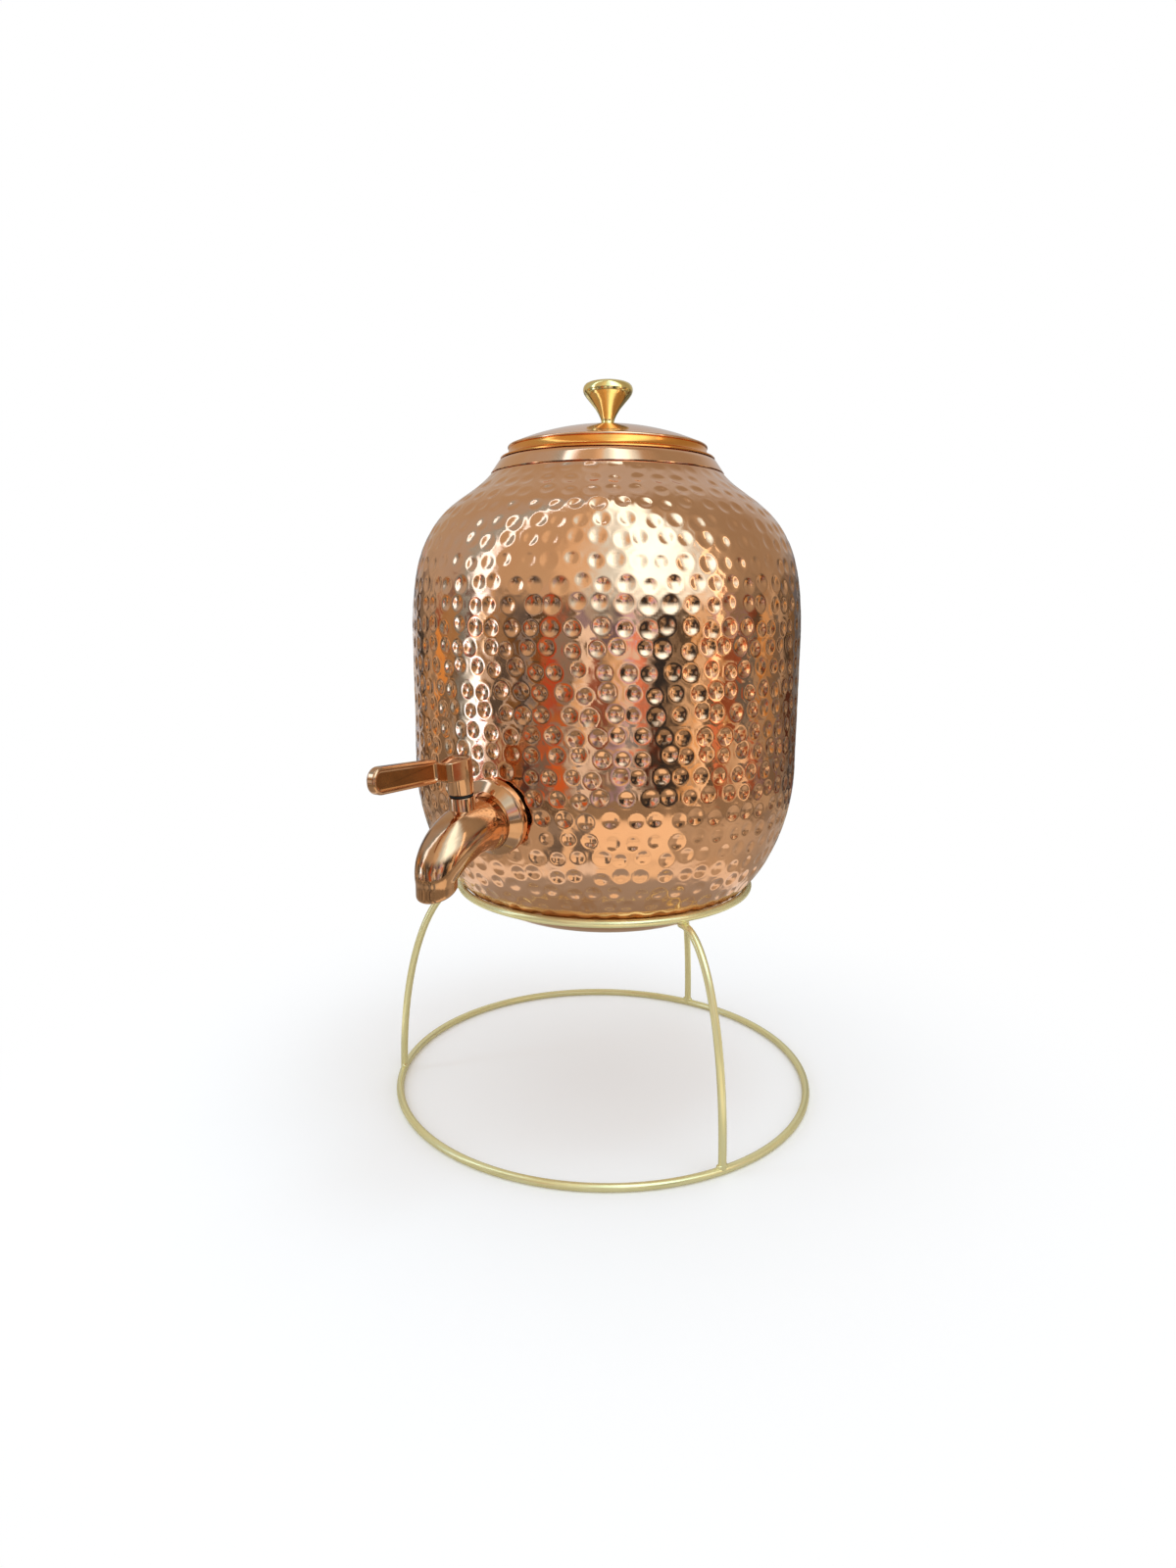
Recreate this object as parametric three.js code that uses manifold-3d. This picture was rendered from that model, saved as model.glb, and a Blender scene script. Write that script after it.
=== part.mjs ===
// A copper water dispenser: a hammered tank with a lift-off lid, a quarter-turn tap with a flat
// lever, and a wire stand. Millimetres, +Z up. The tap points along -Y, and the origin is under
// the middle of the whole object, on the surface that it stands on.
import * as THREE from 'three';
import { mergeVertices } from 'three/addons/utils/BufferGeometryUtils.js';
import Module from 'manifold-3d';

const wasm = await Module();
wasm.setup();

// Clearances shared by every piece
const seatGap = 0.3; // between two pieces that touch on the real object
const turnGap = 0.15; // round a rubber ring in the bore that it seals
const cutOverrun = 2; // how far a cutting solid runs past the face that it opens

// Faces round a turned shape
const fineTurn = 48;
const plainTurn = 40;
const smallTurn = 24;
const wireSides = 8;

// Stand: two rings and three legs of round wire
const wireDiameter = 4;
const baseRingRadius = 114.7;
const topRingRadius = 78.8;
const topRingHeight = 116.8;
const restingFlat = 0.3;
const legInset = 1.4;
const legStub = 2;
const legCount = 3;
const legSteps = 20;

// Tank: two spun copper shells joined at mid height, heights from its own base
const tankRadius = 101;
const tankWall = 1.2;
const tankBaseRadius = 44.6;
const sideStartHeight = 82;
const sideEndHeight = 149;
const seamHeight = 115.5;
const creaseHeight = 227.9;
const creaseRadius = 59.5;
const shoulderPullShare = 0.795; // of the shoulder's height
const shoulderEndShare = 0.21; // of the shoulder's height
const shoulderSlope = 0.91;
const bottomSteps = 9;
const shoulderSteps = 11;

// Neck collar: the smooth band brazed on the tank's shoulder
const rimRadius = 55;
const collarHeight = 6.8;
const rimLip = 2.8;
const rimThickness = 1.4;
const collarWall = 1.3;

// Lid
const lidWall = 1;
const lidFootInset = 0.2;
const lidFootHeight = 0.9;
const lidEdgeRadius = 51;
const lidEdgeHeight = 7; // above the rim
const lidDomeHeight = 10.5; // above the lid's edge
const lidBead = 0.6;
const lidCoveDepth = 0.9;
const lidBrimWidth = 4.6;
const lidDomeSteps = 10;
const lidCoveSteps = 4;
const skirtClearance = 0.8;
const skirtWall = 1;
const skirtHeight = 9;

// Lid knob and its fastening
const knobRadius = 12.65;
const knobHeight = 21.9;
const knobNeckRadius = 3.3;
const knobBoreDepth = 9;
const knobScrewRadius = 1.8;
const knobScrewHeadRadius = 3.6;
const knobScrewHeadHeight = 2.4;
const knobWasherRadius = 5.5;
const knobWasherThickness = 1;
const knobBulgeShares = [ // radius and height, of the knob's
  [0.27, 0.09], [0.37, 0.22], [0.5, 0.355], [0.69, 0.485], [0.885, 0.615],
  [0.975, 0.7], [1, 0.775], [0.985, 0.85], [0.9, 0.915], [0.72, 0.96], [0.4, 0.99],
];

// Tap: it stands square to the tank's sloping wall. Its own sizes are drawn as if it stood
// level, and the whole tap is then tipped to the wall's slope.
const tapHeight = 68.1; // of the middle of its hole, above the tank's base
const shankRadius = 8;
const shankSpare = 4;
const shankBoreRadius = 3.6;
const flangeRadius = 18.1;
const flangeThickness = 2.4; // at its edge
const flangeRise = 3.7; // of its cone, towards the tube
const flangeCrownRadius = 13.6; // where the cone ends
const flangeSeatRadius = 12.9; // of the hollow that takes the tube's root
const flangeChamfer = 0.5;
const outerGasketRadius = 15;
const outerGasketThickness = 1;
const innerGasketRadius = 13;
const innerGasketThickness = 1; // at its thinnest, where the wall is furthest in
const innerWasherRadius = 13.5;
const innerWasherThickness = 1.5;
const nutAcrossFlats = 24;
const nutThickness = 7;
const tubeRadius = 12.4;
const rootRadius = 12.6; // where the tube leaves the flange
const rootDrop = 1.4; // of the tube's middle there, below the flange's
const rootLength = 4;
const tubeBendRadius = 12;
const outletRadius = 8.9;
const outletBoreRadius = 6.7;
const outletLip = 0.8;
const outletSlant = 20; // degrees that the mouth is cut off level, lower on its outer side
const tubeStraight = 10.1;
const bendReach = 29.9;
const bendDrop = 16.2;
const outletDrop = 5.6;
const bendSteps = 10;
const bossRadius = 5.9;
const bossHeight = 16.1; // above the tap's axis
const stemSetback = 8.1; // of the stem's axis past the start of the bend

// Valve in the boss: heights from the tap's axis
const plugRadius = 4.45;
const plugFoot = 6;
const plugShoulder = 11.6;
const plugBoreRadius = 3;
const stemRadius = 2.8;
const stemSquare = 4.2;
const stemSquareLength = 7.4;
const retainerHeight = 3.1;
const ringSection = 0.9;
const ringGrooveWidth = 1.5;
const ringGrooveDepth = 1.05;
const ringSides = 8;
const firstRingHeight = 6;
const ringPitch = 3;
const stemWasherThickness = 0.6;
const stemWasherInset = 0.6;

// Lever: hub, neck and flat paddle
const hubRadius = 5.9;
const hubHeight = 15.8;
const leverReach = 53.7; // from the stem's axis to the paddle's tip
const paddleThickness = 4.4;
const paddleChamfer = 1;
const paddleStart = 15.5; // from the stem's axis
const paddleDepthAtRoot = 10.3;
const paddleDepthAtTip = 11.4;
const paddleRise = 3.4; // of the root's upper edge above the hub
const tipRise = 9.6; // of the tip's upper edge above the hub
const tipRound = 5;
const tipSteps = 5;
const neckDepth = 8.4; // below the hub's top
const browRadius = 3.7; // of the small end of the drop that the hub's top makes
const browReach = 6.8; // of that end's middle from the stem's axis
const pocketBorder = 1.1;
const pocketDepth = 0.9;
const leverScrewRadius = 1.15;
const leverScrewLength = 5.4;
const leverScrewHeadRadius = 2.6;
const leverScrewHeadHeight = 1.8;
const leverWeb = 2;
const capRadius = 4.2;
const capBrowRadius = 2.1;
const capThickness = 1.5;
const capDish = 0.7;
const capDishShare = 0.82; // of the cap's width that is dished
const capSink = 0.5;
const dishSteps = 4;

// Values worked out from the sizes above
const wireRadius = wireDiameter / 2;
const baseRingZ = wireRadius - restingFlat;
const legTopZ = topRingHeight - wireDiameter - seatGap;

// Materials: colour, roughness and metalness of each finish
function finish(color, roughness, metalness) {
  return new THREE.MeshStandardMaterial({ color, roughness, metalness });
}
const hammeredCopper = finish(0xc07a52, 0.22, 1);
const polishedCopper = finish(0xc58159, 0.15, 1);
const satinBrass = finish(0xc4b06a, 0.38, 1);
const polishedBrass = finish(0xd0a54c, 0.18, 1);
const blackRubber = finish(0x1d1d1d, 0.7, 0);
const steel = finish(0xb9bcc0, 0.3, 1);

// A closed geometry as a manifold solid, without the empty triangles at a lathe's axis
function solidOf(geometry) {
  const bare = new THREE.BufferGeometry();
  const source = geometry.index ? geometry.toNonIndexed() : geometry;
  bare.setAttribute('position', source.getAttribute('position'));
  const merged = mergeVertices(bare, 1e-4);
  const index = merged.index.array;
  const kept = [];
  for (let i = 0; i < index.length; i += 3) {
    const [a, b, c] = [index[i], index[i + 1], index[i + 2]];
    if (a !== b && b !== c && c !== a) kept.push(a, b, c);
  }
  const solid = new wasm.Manifold(new wasm.Mesh({
    numProp: 3,
    vertProperties: merged.attributes.position.array,
    triVerts: new Uint32Array(kept),
  }));
  return solid;
}

// The geometry of a manifold solid
function geometryOf(solid) {
  const mesh = solid.getMesh();
  const geometry = new THREE.BufferGeometry();
  const positions = new Float32Array(mesh.vertProperties);
  geometry.setAttribute('position', new THREE.BufferAttribute(positions, mesh.numProp));
  geometry.setIndex(new THREE.BufferAttribute(new Uint32Array(mesh.triVerts), 1));
  const flat = geometry.toNonIndexed();
  flat.computeVertexNormals();
  return flat;
}

function cut(geometry, ...tools) {
  return geometryOf(tools.reduce((solid, tool) => solid.subtract(solidOf(tool)), solidOf(geometry)));
}

function join(geometry, ...others) {
  return geometryOf(others.reduce((solid, other) => solid.add(solidOf(other)), solidOf(geometry)));
}

function common(geometry, other) {
  return geometryOf(solidOf(geometry).intersect(solidOf(other)));
}

// A shape turned round the Z axis: its outline runs with the solid on its left
function turned(outline, segments) {
  const points = outline.map(([r, z]) => new THREE.Vector2(r, z));
  const geometry = new THREE.LatheGeometry(points, segments);
  return geometry.rotateX(Math.PI / 2);
}

// A closed ring of rectangular section, and a plain disc or post, standing on height z
function ring(innerRadius, outerRadius, z, height, segments) {
  return turned([
    [innerRadius, z], [outerRadius, z], [outerRadius, z + height], [innerRadius, z + height],
    [innerRadius, z],
  ], segments);
}
function post(radius, z, height, segments) {
  return turned([[0, z], [radius, z], [radius, z + height], [0, z + height]], segments);
}

// Turns a shape made along Z so that it runs outwards along -Y at the height of the tap
function alongTap(geometry) {
  return geometry.rotateX(Math.PI / 2).translate(0, 0, tapZ);
}

// The tank's outside radius at a height
function wallRadiusAt(z) {
  const outline = tankOutline(tankBaseZ);
  const next = outline.findIndex((point, i) => i > 0 && point[1] >= z);
  const [[r0, z0], [r1, z1]] = [outline[next - 1], outline[next]];
  return r0 + (r1 - r0) * (z - z0) / (z1 - z0);
}

// Tips a level shape of the tap so that the tap stands square to the wall at its hole
function tipped(geometry) {
  const wall = wallRadiusAt(tapZ);
  return geometry.translate(0, wall, -tapZ).rotateX(tapTilt).translate(0, -wall, tapZ);
}

// Outline of the tank's outside, from the base's edge up to the crease at the neck
function tankOutline(baseZ) {
  const bottom = new THREE.EllipseCurve(
    tankBaseRadius, sideStartHeight, tankRadius - tankBaseRadius, sideStartHeight, -Math.PI / 2, 0,
  );
  const rise = creaseHeight - sideEndHeight;
  const endPull = rise * shoulderEndShare;
  const shoulder = new THREE.CubicBezierCurve(
    new THREE.Vector2(tankRadius, sideEndHeight),
    new THREE.Vector2(tankRadius, sideEndHeight + rise * shoulderPullShare),
    new THREE.Vector2(creaseRadius + endPull * shoulderSlope, creaseHeight - endPull),
    new THREE.Vector2(creaseRadius, creaseHeight),
  );
  return [...bottom.getPoints(bottomSteps), ...shoulder.getPoints(shoulderSteps)]
    .map((p) => [p.x, p.y + baseZ]);
}

// An outline moved sideways, to the left of its own direction
function offsetOutline(outline, distance) {
  return outline.map((point, i) => {
    const before = outline[Math.max(i - 1, 0)];
    const after = outline[Math.min(i + 1, outline.length - 1)];
    const run = new THREE.Vector2(after[0] - before[0], after[1] - before[1]).normalize();
    return [point[0] - run.y * distance, point[1] + run.x * distance];
  });
}

// Height of the tank's base: the tank sinks into the top ring until its wall meets the wire
function seatedBase() {
  const reach = wireRadius + seatGap;
  let base = 0;
  const outline = tankOutline(0);
  for (let i = 1; i < outline.length; i += 1) {
    for (let share = 0; share < 1; share += 0.1) {
      const r = outline[i - 1][0] + (outline[i][0] - outline[i - 1][0]) * share;
      const h = outline[i - 1][1] + (outline[i][1] - outline[i - 1][1]) * share;
      const side = r - topRingRadius;
      if (Math.abs(side) < reach) {
        base = Math.max(base, topRingHeight + Math.sqrt(reach * reach - side * side) - h);
      }
    }
  }
  return base;
}

const tankBaseZ = seatedBase();
const creaseZ = tankBaseZ + creaseHeight;
const rimZ = creaseZ + seatGap + collarHeight;
const tapZ = tankBaseZ + tapHeight;
const tapLowShare = Math.max(0, 1 - tapHeight / sideStartHeight); // of the bottom's rise
const tapTilt = Math.atan2(
  (tankRadius - tankBaseRadius) * tapLowShare,
  sideStartHeight * Math.sqrt(1 - tapLowShare * tapLowShare),
);
const lidFootZ = rimZ + seatGap;
const lidEdgeZ = rimZ + lidEdgeHeight;
const lidTopZ = lidEdgeZ + lidDomeHeight;

const dispenser = new THREE.Group();
function addPiece(name, geometry, material, parent = dispenser) {
  const mesh = new THREE.Mesh(geometry, material);
  mesh.name = name;
  parent.add(mesh);
  return mesh;
}

// Stand rings: round wire, the base ring with the flat that it rests on
function wireRing(ringRadius, z, lowest) {
  const outline = [];
  for (let i = 0; i <= wireSides; i += 1) {
    const angle = (i + 0.5) * 2 * Math.PI / wireSides;
    const height = z + wireRadius * Math.sin(angle);
    outline.push([ringRadius + wireRadius * Math.cos(angle), Math.max(height, lowest)]);
  }
  return turned(outline, fineTurn);
}

// A leg runs out level from under the top ring, then down a quarter of an ellipse
class LegCurve extends THREE.Curve {
  getPoint(t, target = new THREE.Vector3()) {
    const innerRadius = topRingRadius - legInset;
    const levelShare = 0.03;
    if (t < levelShare) {
      return target.set(innerRadius - legStub * (1 - t / levelShare), 0, legTopZ);
    }
    const angle = (t - levelShare) / (1 - levelShare) * Math.PI / 2;
    return target.set(
      innerRadius + (baseRingRadius - innerRadius) * Math.sin(angle),
      0,
      baseRingZ + (legTopZ - baseRingZ) * Math.cos(angle),
    );
  }
}

function leg() {
  const section = new THREE.Shape();
  for (let i = 0; i < wireSides; i += 1) {
    const angle = i * 2 * Math.PI / wireSides;
    const corner = [wireRadius * Math.cos(angle), wireRadius * Math.sin(angle)];
    if (i === 0) section.moveTo(...corner);
    else section.lineTo(...corner);
  }
  const wire = new THREE.ExtrudeGeometry(section, { steps: legSteps, extrudePath: new LegCurve() });
  const saddle = [];
  for (let i = 0; i <= wireSides; i += 1) {
    const angle = (i + 0.5) * 2 * Math.PI / wireSides;
    const reach = wireRadius + seatGap;
    saddle.push([baseRingRadius + reach * Math.cos(angle), baseRingZ + reach * Math.sin(angle)]);
  }
  const above = post(baseRingRadius * 2, baseRingZ, topRingHeight, wireSides);
  return cut(common(wire, above), turned(saddle, fineTurn));
}

function addStand() {
  addPiece('base_ring', wireRing(baseRingRadius, baseRingZ, 0), satinBrass);
  addPiece('top_ring', wireRing(topRingRadius, topRingHeight, 0), satinBrass);
  ['leg_rear', 'leg_left', 'leg_right'].forEach((name, i) => {
    const mesh = addPiece(name, leg(), satinBrass);
    mesh.rotation.z = Math.PI / 2 + i * 2 * Math.PI / legCount;
  });
}

// Lower shell: from the middle of the base up to the seam, with the hole for the tap
function lowerShell() {
  const seamZ = tankBaseZ + seamHeight;
  const outside = tankOutline(tankBaseZ);
  const inside = offsetOutline(outside, tankWall);
  const outline = [
    [0, tankBaseZ], ...outside.filter(([, z]) => z < seamZ), [tankRadius, seamZ],
    [tankRadius - tankWall, seamZ],
    ...inside.filter(([, z]) => z > tankBaseZ + tankWall && z < seamZ).reverse(),
    [tankBaseRadius, tankBaseZ + tankWall], [0, tankBaseZ + tankWall],
  ];
  const holeStart = tankRadius / 2;
  const hole = tipped(alongTap(post(
    shankRadius + 2 * seatGap, holeStart, tankRadius - holeStart + cutOverrun, smallTurn,
  )));
  return cut(turned(outline, fineTurn), hole);
}

// Upper shell: from the seam over the shoulder to the neck
function upperShell() {
  const footZ = tankBaseZ + seamHeight + seatGap;
  const outside = tankOutline(tankBaseZ);
  const inside = offsetOutline(outside, tankWall);
  const neckInner = creaseRadius - tankWall * Math.SQRT2;
  return turned([
    [tankRadius - tankWall, footZ], [tankRadius, footZ],
    ...outside.filter(([, z]) => z > footZ), [neckInner, creaseZ],
    ...inside.filter(([, z]) => z > footZ && z < creaseZ - tankWall).reverse(),
    [tankRadius - tankWall, footZ],
  ], fineTurn);
}

// The tank as a full block, moved out by the gap, to cut what is fitted to its wall
function tankBlock(growth) {
  const outside = offsetOutline(tankOutline(tankBaseZ), -growth);
  return turned([[0, tankBaseZ - growth], ...outside, [0, creaseZ]], fineTurn);
}

function neckCollar() {
  const foot = creaseZ + seatGap;
  const innerFoot = creaseRadius - tankWall * Math.SQRT2;
  const lipZ = rimZ - rimThickness;
  return turned([
    [innerFoot, foot], [creaseRadius, foot], [rimRadius, rimZ - rimThickness / 2],
    [rimRadius - rimThickness / 4, rimZ], [rimRadius - rimLip, rimZ], [rimRadius - rimLip, lipZ],
    [rimRadius - collarWall, lipZ - rimThickness / 2], [innerFoot, foot],
  ], fineTurn);
}

function addTank() {
  addPiece('tank_lower', lowerShell(), hammeredCopper);
  addPiece('tank_upper', upperShell(), hammeredCopper);
  addPiece('neck_collar', neckCollar(), polishedCopper);
}

// Lid: a shallow dome with a bead at its edge, a cove under the bead and a flat brim below
function domeArc(edgeRadius, edgeZ, topZ, fromRadius, steps) {
  const rise = topZ - edgeZ;
  const sphere = (edgeRadius * edgeRadius + rise * rise) / (2 * rise);
  const points = [];
  for (let i = 0; i <= steps; i += 1) {
    const r = fromRadius + (edgeRadius - fromRadius) * i / steps;
    points.push([r, topZ - sphere + Math.sqrt(sphere * sphere - r * r)]);
  }
  return points;
}

function lidDome() {
  const holeRadius = knobScrewRadius + seatGap;
  const footRadius = rimRadius - lidFootInset;
  const outer = domeArc(lidEdgeRadius - lidBead, lidEdgeZ, lidTopZ, holeRadius, lidDomeSteps);
  const bead = [
    [lidEdgeRadius, lidEdgeZ - lidBead], [lidEdgeRadius - lidBead, lidEdgeZ - 2 * lidBead],
  ];
  const coveTop = lidEdgeZ - 2 * lidBead;
  const coveFoot = lidFootZ + lidFootHeight;
  const cove = [];
  for (let i = 1; i <= lidCoveSteps; i += 1) {
    const share = i / lidCoveSteps;
    const straight = lidEdgeRadius - lidBead + (footRadius - lidEdgeRadius + lidBead) * share;
    cove.push([
      straight - lidCoveDepth * Math.sin(Math.PI * share),
      coveTop + (coveFoot - coveTop) * share,
    ]);
  }
  const innerEdge = footRadius - lidBrimWidth - lidWall;
  const inner = domeArc(innerEdge, lidEdgeZ - lidWall, lidTopZ - lidWall, holeRadius, lidDomeSteps);
  return turned([
    ...outer, ...bead, ...cove, [footRadius, lidFootZ], [innerEdge, lidFootZ], ...inner.reverse(),
    outer[0],
  ].reverse(), plainTurn);
}

// Height of the dome's underside at the screw, where the washer is drawn up
function lidUnderside(radius) {
  const innerEdge = rimRadius - lidFootInset - lidBrimWidth - lidWall;
  return domeArc(innerEdge, lidEdgeZ - lidWall, lidTopZ - lidWall, radius, 1)[0][1];
}

function lidKnob() {
  const base = lidTopZ + seatGap;
  const boreRadius = knobScrewRadius + seatGap;
  const curve = knobBulgeShares.map(([r, h]) => [r * knobRadius, base + h * knobHeight]);
  return turned([
    [boreRadius, base], [knobNeckRadius, base], ...curve, [0, base + knobHeight],
    [0, base + knobBoreDepth], [boreRadius, base + knobBoreDepth], [boreRadius, base],
  ], smallTurn);
}

function addLid() {
  addPiece('lid_dome', lidDome(), polishedCopper);
  const skirtOuter = rimRadius - rimLip - skirtClearance;
  const skirtTop = lidFootZ - seatGap;
  const skirt = ring(skirtOuter - skirtWall, skirtOuter, skirtTop - skirtHeight, skirtHeight, plainTurn);
  addPiece('lid_skirt', skirt, polishedCopper);
  addPiece('lid_knob', lidKnob(), polishedBrass);
  const washerTop = lidUnderside(knobWasherRadius) - seatGap;
  const washerBottom = washerTop - knobWasherThickness;
  const washer = ring(
    knobScrewRadius + seatGap, knobWasherRadius, washerBottom, knobWasherThickness, smallTurn,
  );
  addPiece('knob_washer', washer, steel);
  const headTop = washerBottom - seatGap;
  const screwTop = lidTopZ + knobBoreDepth - seatGap;
  const screw = turned([
    [0, headTop - knobScrewHeadHeight], [knobScrewHeadRadius * 0.8, headTop - knobScrewHeadHeight],
    [knobScrewHeadRadius, headTop - knobScrewHeadHeight / 2], [knobScrewHeadRadius, headTop],
    [knobScrewRadius, headTop], [knobScrewRadius, screwTop], [0, screwTop],
  ], smallTurn);
  addPiece('knob_screw', screw, steel);
}

// How far out along the tap the wall's inside is met, beside the tap's axis by these distances
function insideWallPlace(across, up) {
  const wall = wallRadiusAt(tapZ);
  let near = wall / 2;
  let far = wall;
  for (let i = 0; i < 30; i += 1) {
    const place = (near + far) / 2;
    const point = tipped(new THREE.BufferGeometry().setFromPoints([
      new THREE.Vector3(across, -place, tapZ + up),
    ])).getAttribute('position');
    const inside = (wallRadiusAt(point.getZ(0)) - tankWall) * Math.cos(Math.PI / fineTurn);
    if (Math.hypot(point.getX(0), point.getY(0)) < inside) near = place;
    else far = place;
  }
  return near;
}

// How far in the wall's inside comes within a round of this radius about the tap's axis
function innermostWall(radius) {
  const places = [];
  for (let i = 0; i < smallTurn; i += 1) {
    const angle = i * 2 * Math.PI / smallTurn;
    places.push(insideWallPlace(radius * Math.cos(angle), radius * Math.sin(angle)));
  }
  return Math.min(...places);
}

// Tap places, outwards from the tank's axis as if the tap stood level
const gasketFace = wallRadiusAt(tapZ) + seatGap;
const flangeBack = gasketFace + outerGasketThickness + seatGap;
const flangeFront = flangeBack + flangeThickness;
const tubeStart = flangeFront + seatGap;
const bendStart = tubeStart + tubeStraight;
const stemPlace = bendStart + stemSetback;
const innerGasketEnd = innermostWall(innerWasherRadius) - seatGap - innerGasketThickness;
const innerWasherFace = innerGasketEnd - seatGap;
const nutFace = innerWasherFace - innerWasherThickness - seatGap;
const shankEnd = nutFace - nutThickness - shankSpare;
const bossTopZ = tapZ + bossHeight;
// The bend ends where the spout runs plumb once the tap is tipped
const plumb = Math.PI / 2 - tapTilt;
const bendTurn = Math.atan2(Math.sin(plumb) * bendReach, Math.cos(plumb) * bendDrop);
const mouthTurn = plumb + THREE.MathUtils.degToRad(outletSlant);

// A round tube with a changing radius along the spout's centre line. Each ring of it has its
// place, height, turn and radius, and how far the ring is stretched where it is cut on the slant.
function spoutTube(straightRadius, middleRadius, endRadius, start, overrun, lip) {
  const rings = [[start, tapZ, 0, straightRadius, 1], [bendStart, tapZ, 0, straightRadius, 1]];
  if (lip > 0) {
    const rootZ = tapZ - rootDrop;
    rings[0] = [start, rootZ, 0, rootRadius, 1];
    rings.splice(1, 0, [start + rootLength, rootZ, 0, rootRadius, 1]);
  }
  for (let i = 1; i <= bendSteps; i += 1) {
    const share = i / bendSteps;
    const angle = share * bendTurn;
    const left = 1 - share;
    rings.push([
      bendStart + bendReach * Math.sin(angle),
      tapZ - bendDrop * (1 - Math.cos(angle)),
      Math.atan2(bendDrop * Math.sin(angle), bendReach * Math.cos(angle)),
      straightRadius * left * left + 2 * middleRadius * share * left
        + endRadius * share * share, 1,
    ]);
  }
  const [bendPlace, bendZ] = rings[rings.length - 1];
  const addMouth = (distance, radius) => rings.push([
    bendPlace + distance * Math.cos(plumb), bendZ - distance * Math.sin(plumb), mouthTurn, radius,
    1 / Math.cos(mouthTurn - plumb),
  ]);
  if (lip > 0) addMouth(outletDrop - lip, endRadius);
  addMouth(outletDrop + overrun, endRadius - lip);
  const positions = [];
  const index = [];
  rings.forEach(([place, z, tilt, radius, stretch]) => {
    for (let k = 0; k < smallTurn; k += 1) {
      const angle = k * 2 * Math.PI / smallTurn;
      const up = radius * stretch * Math.sin(angle);
      positions.push(radius * Math.cos(angle), -(place + up * Math.sin(tilt)), z + up * Math.cos(tilt));
    }
  });
  for (let i = 0; i + 1 < rings.length; i += 1) {
    for (let k = 0; k < smallTurn; k += 1) {
      const next = (k + 1) % smallTurn;
      const [a, b] = [i * smallTurn + k, i * smallTurn + next];
      const [c, d] = [a + smallTurn, b + smallTurn];
      index.push(a, b, c, b, d, c);
    }
  }
  const last = (rings.length - 1) * smallTurn;
  for (let k = 1; k + 1 < smallTurn; k += 1) {
    index.push(0, k + 1, k);
    index.push(last, last + k, last + k + 1);
  }
  const geometry = new THREE.BufferGeometry();
  geometry.setAttribute('position', new THREE.Float32BufferAttribute(positions, 3));
  geometry.setIndex(index);
  return geometry.toNonIndexed();
}

// A post or ring that stands upright on the stem's axis
function atStem(geometry) {
  return geometry.translate(0, -stemPlace, 0);
}

function tapBody() {
  const spout = spoutTube(tubeRadius, tubeBendRadius, outletRadius, tubeStart, 0, outletLip);
  const shank = alongTap(post(shankRadius, shankEnd, tubeStart - shankEnd + cutOverrun, smallTurn));
  const boss = atStem(post(bossRadius, tapZ, bossHeight, smallTurn));
  const spoutBore = spoutTube(
    shankBoreRadius, (shankBoreRadius + outletBoreRadius) / 2, outletBoreRadius,
    tubeStart, cutOverrun, 0,
  );
  const shankBore = alongTap(post(
    shankBoreRadius, shankEnd - cutOverrun, tubeStart - shankEnd + 2 * cutOverrun, smallTurn,
  ));
  const cavityFoot = tapZ - plugFoot - seatGap;
  const cavity = atStem(post(
    plugRadius + seatGap, cavityFoot, bossTopZ - cavityFoot + cutOverrun, smallTurn,
  ));
  return cut(join(spout, shank, boss), spoutBore, shankBore, cavity);
}

// The flange rises as a cone towards the tube, whose root sits in a hollow of it
function tapFlange() {
  const bore = shankRadius + seatGap;
  const crown = flangeFront + flangeRise;
  const cone = alongTap(turned([
    [bore, flangeBack], [flangeRadius, flangeBack], [flangeRadius, flangeFront - flangeChamfer],
    [flangeRadius - flangeChamfer, flangeFront], [flangeCrownRadius, crown], [bore, crown],
    [bore, flangeBack],
  ], plainTurn));
  const hollow = alongTap(post(
    flangeSeatRadius, flangeFront, flangeRise + cutOverrun, plainTurn,
  )).translate(0, 0, -rootDrop);
  return cut(cone, hollow);
}

// Gaskets take the curve of the tank's wall on one face and are flat on the other
function outerGasket() {
  const bore = shankRadius + seatGap;
  const depth = outerGasketRadius;
  const blank = ring(bore, outerGasketRadius, flangeBack - seatGap - depth, depth, smallTurn);
  return cut(tipped(alongTap(blank)), tankBlock(seatGap));
}
function innerGasket() {
  const bore = shankRadius + seatGap;
  const depth = innerGasketRadius;
  const blank = ring(bore, innerGasketRadius, innerGasketEnd, depth, smallTurn);
  return common(tipped(alongTap(blank)), tankBlock(-tankWall - seatGap));
}

function lockNut() {
  const hexagon = new THREE.Shape();
  const corner = nutAcrossFlats / Math.sqrt(3);
  for (let i = 0; i < 6; i += 1) {
    const angle = i * Math.PI / 3;
    const place = [corner * Math.cos(angle), corner * Math.sin(angle)];
    if (i === 0) hexagon.moveTo(...place);
    else hexagon.lineTo(...place);
  }
  const bore = new THREE.Path();
  bore.absarc(0, 0, shankRadius + seatGap, 0, 2 * Math.PI, true);
  hexagon.holes.push(bore);
  const blank = new THREE.ExtrudeGeometry(hexagon, {
    depth: nutThickness, bevelEnabled: false, curveSegments: smallTurn,
  });
  return alongTap(blank.translate(0, 0, nutFace - nutThickness));
}

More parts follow.
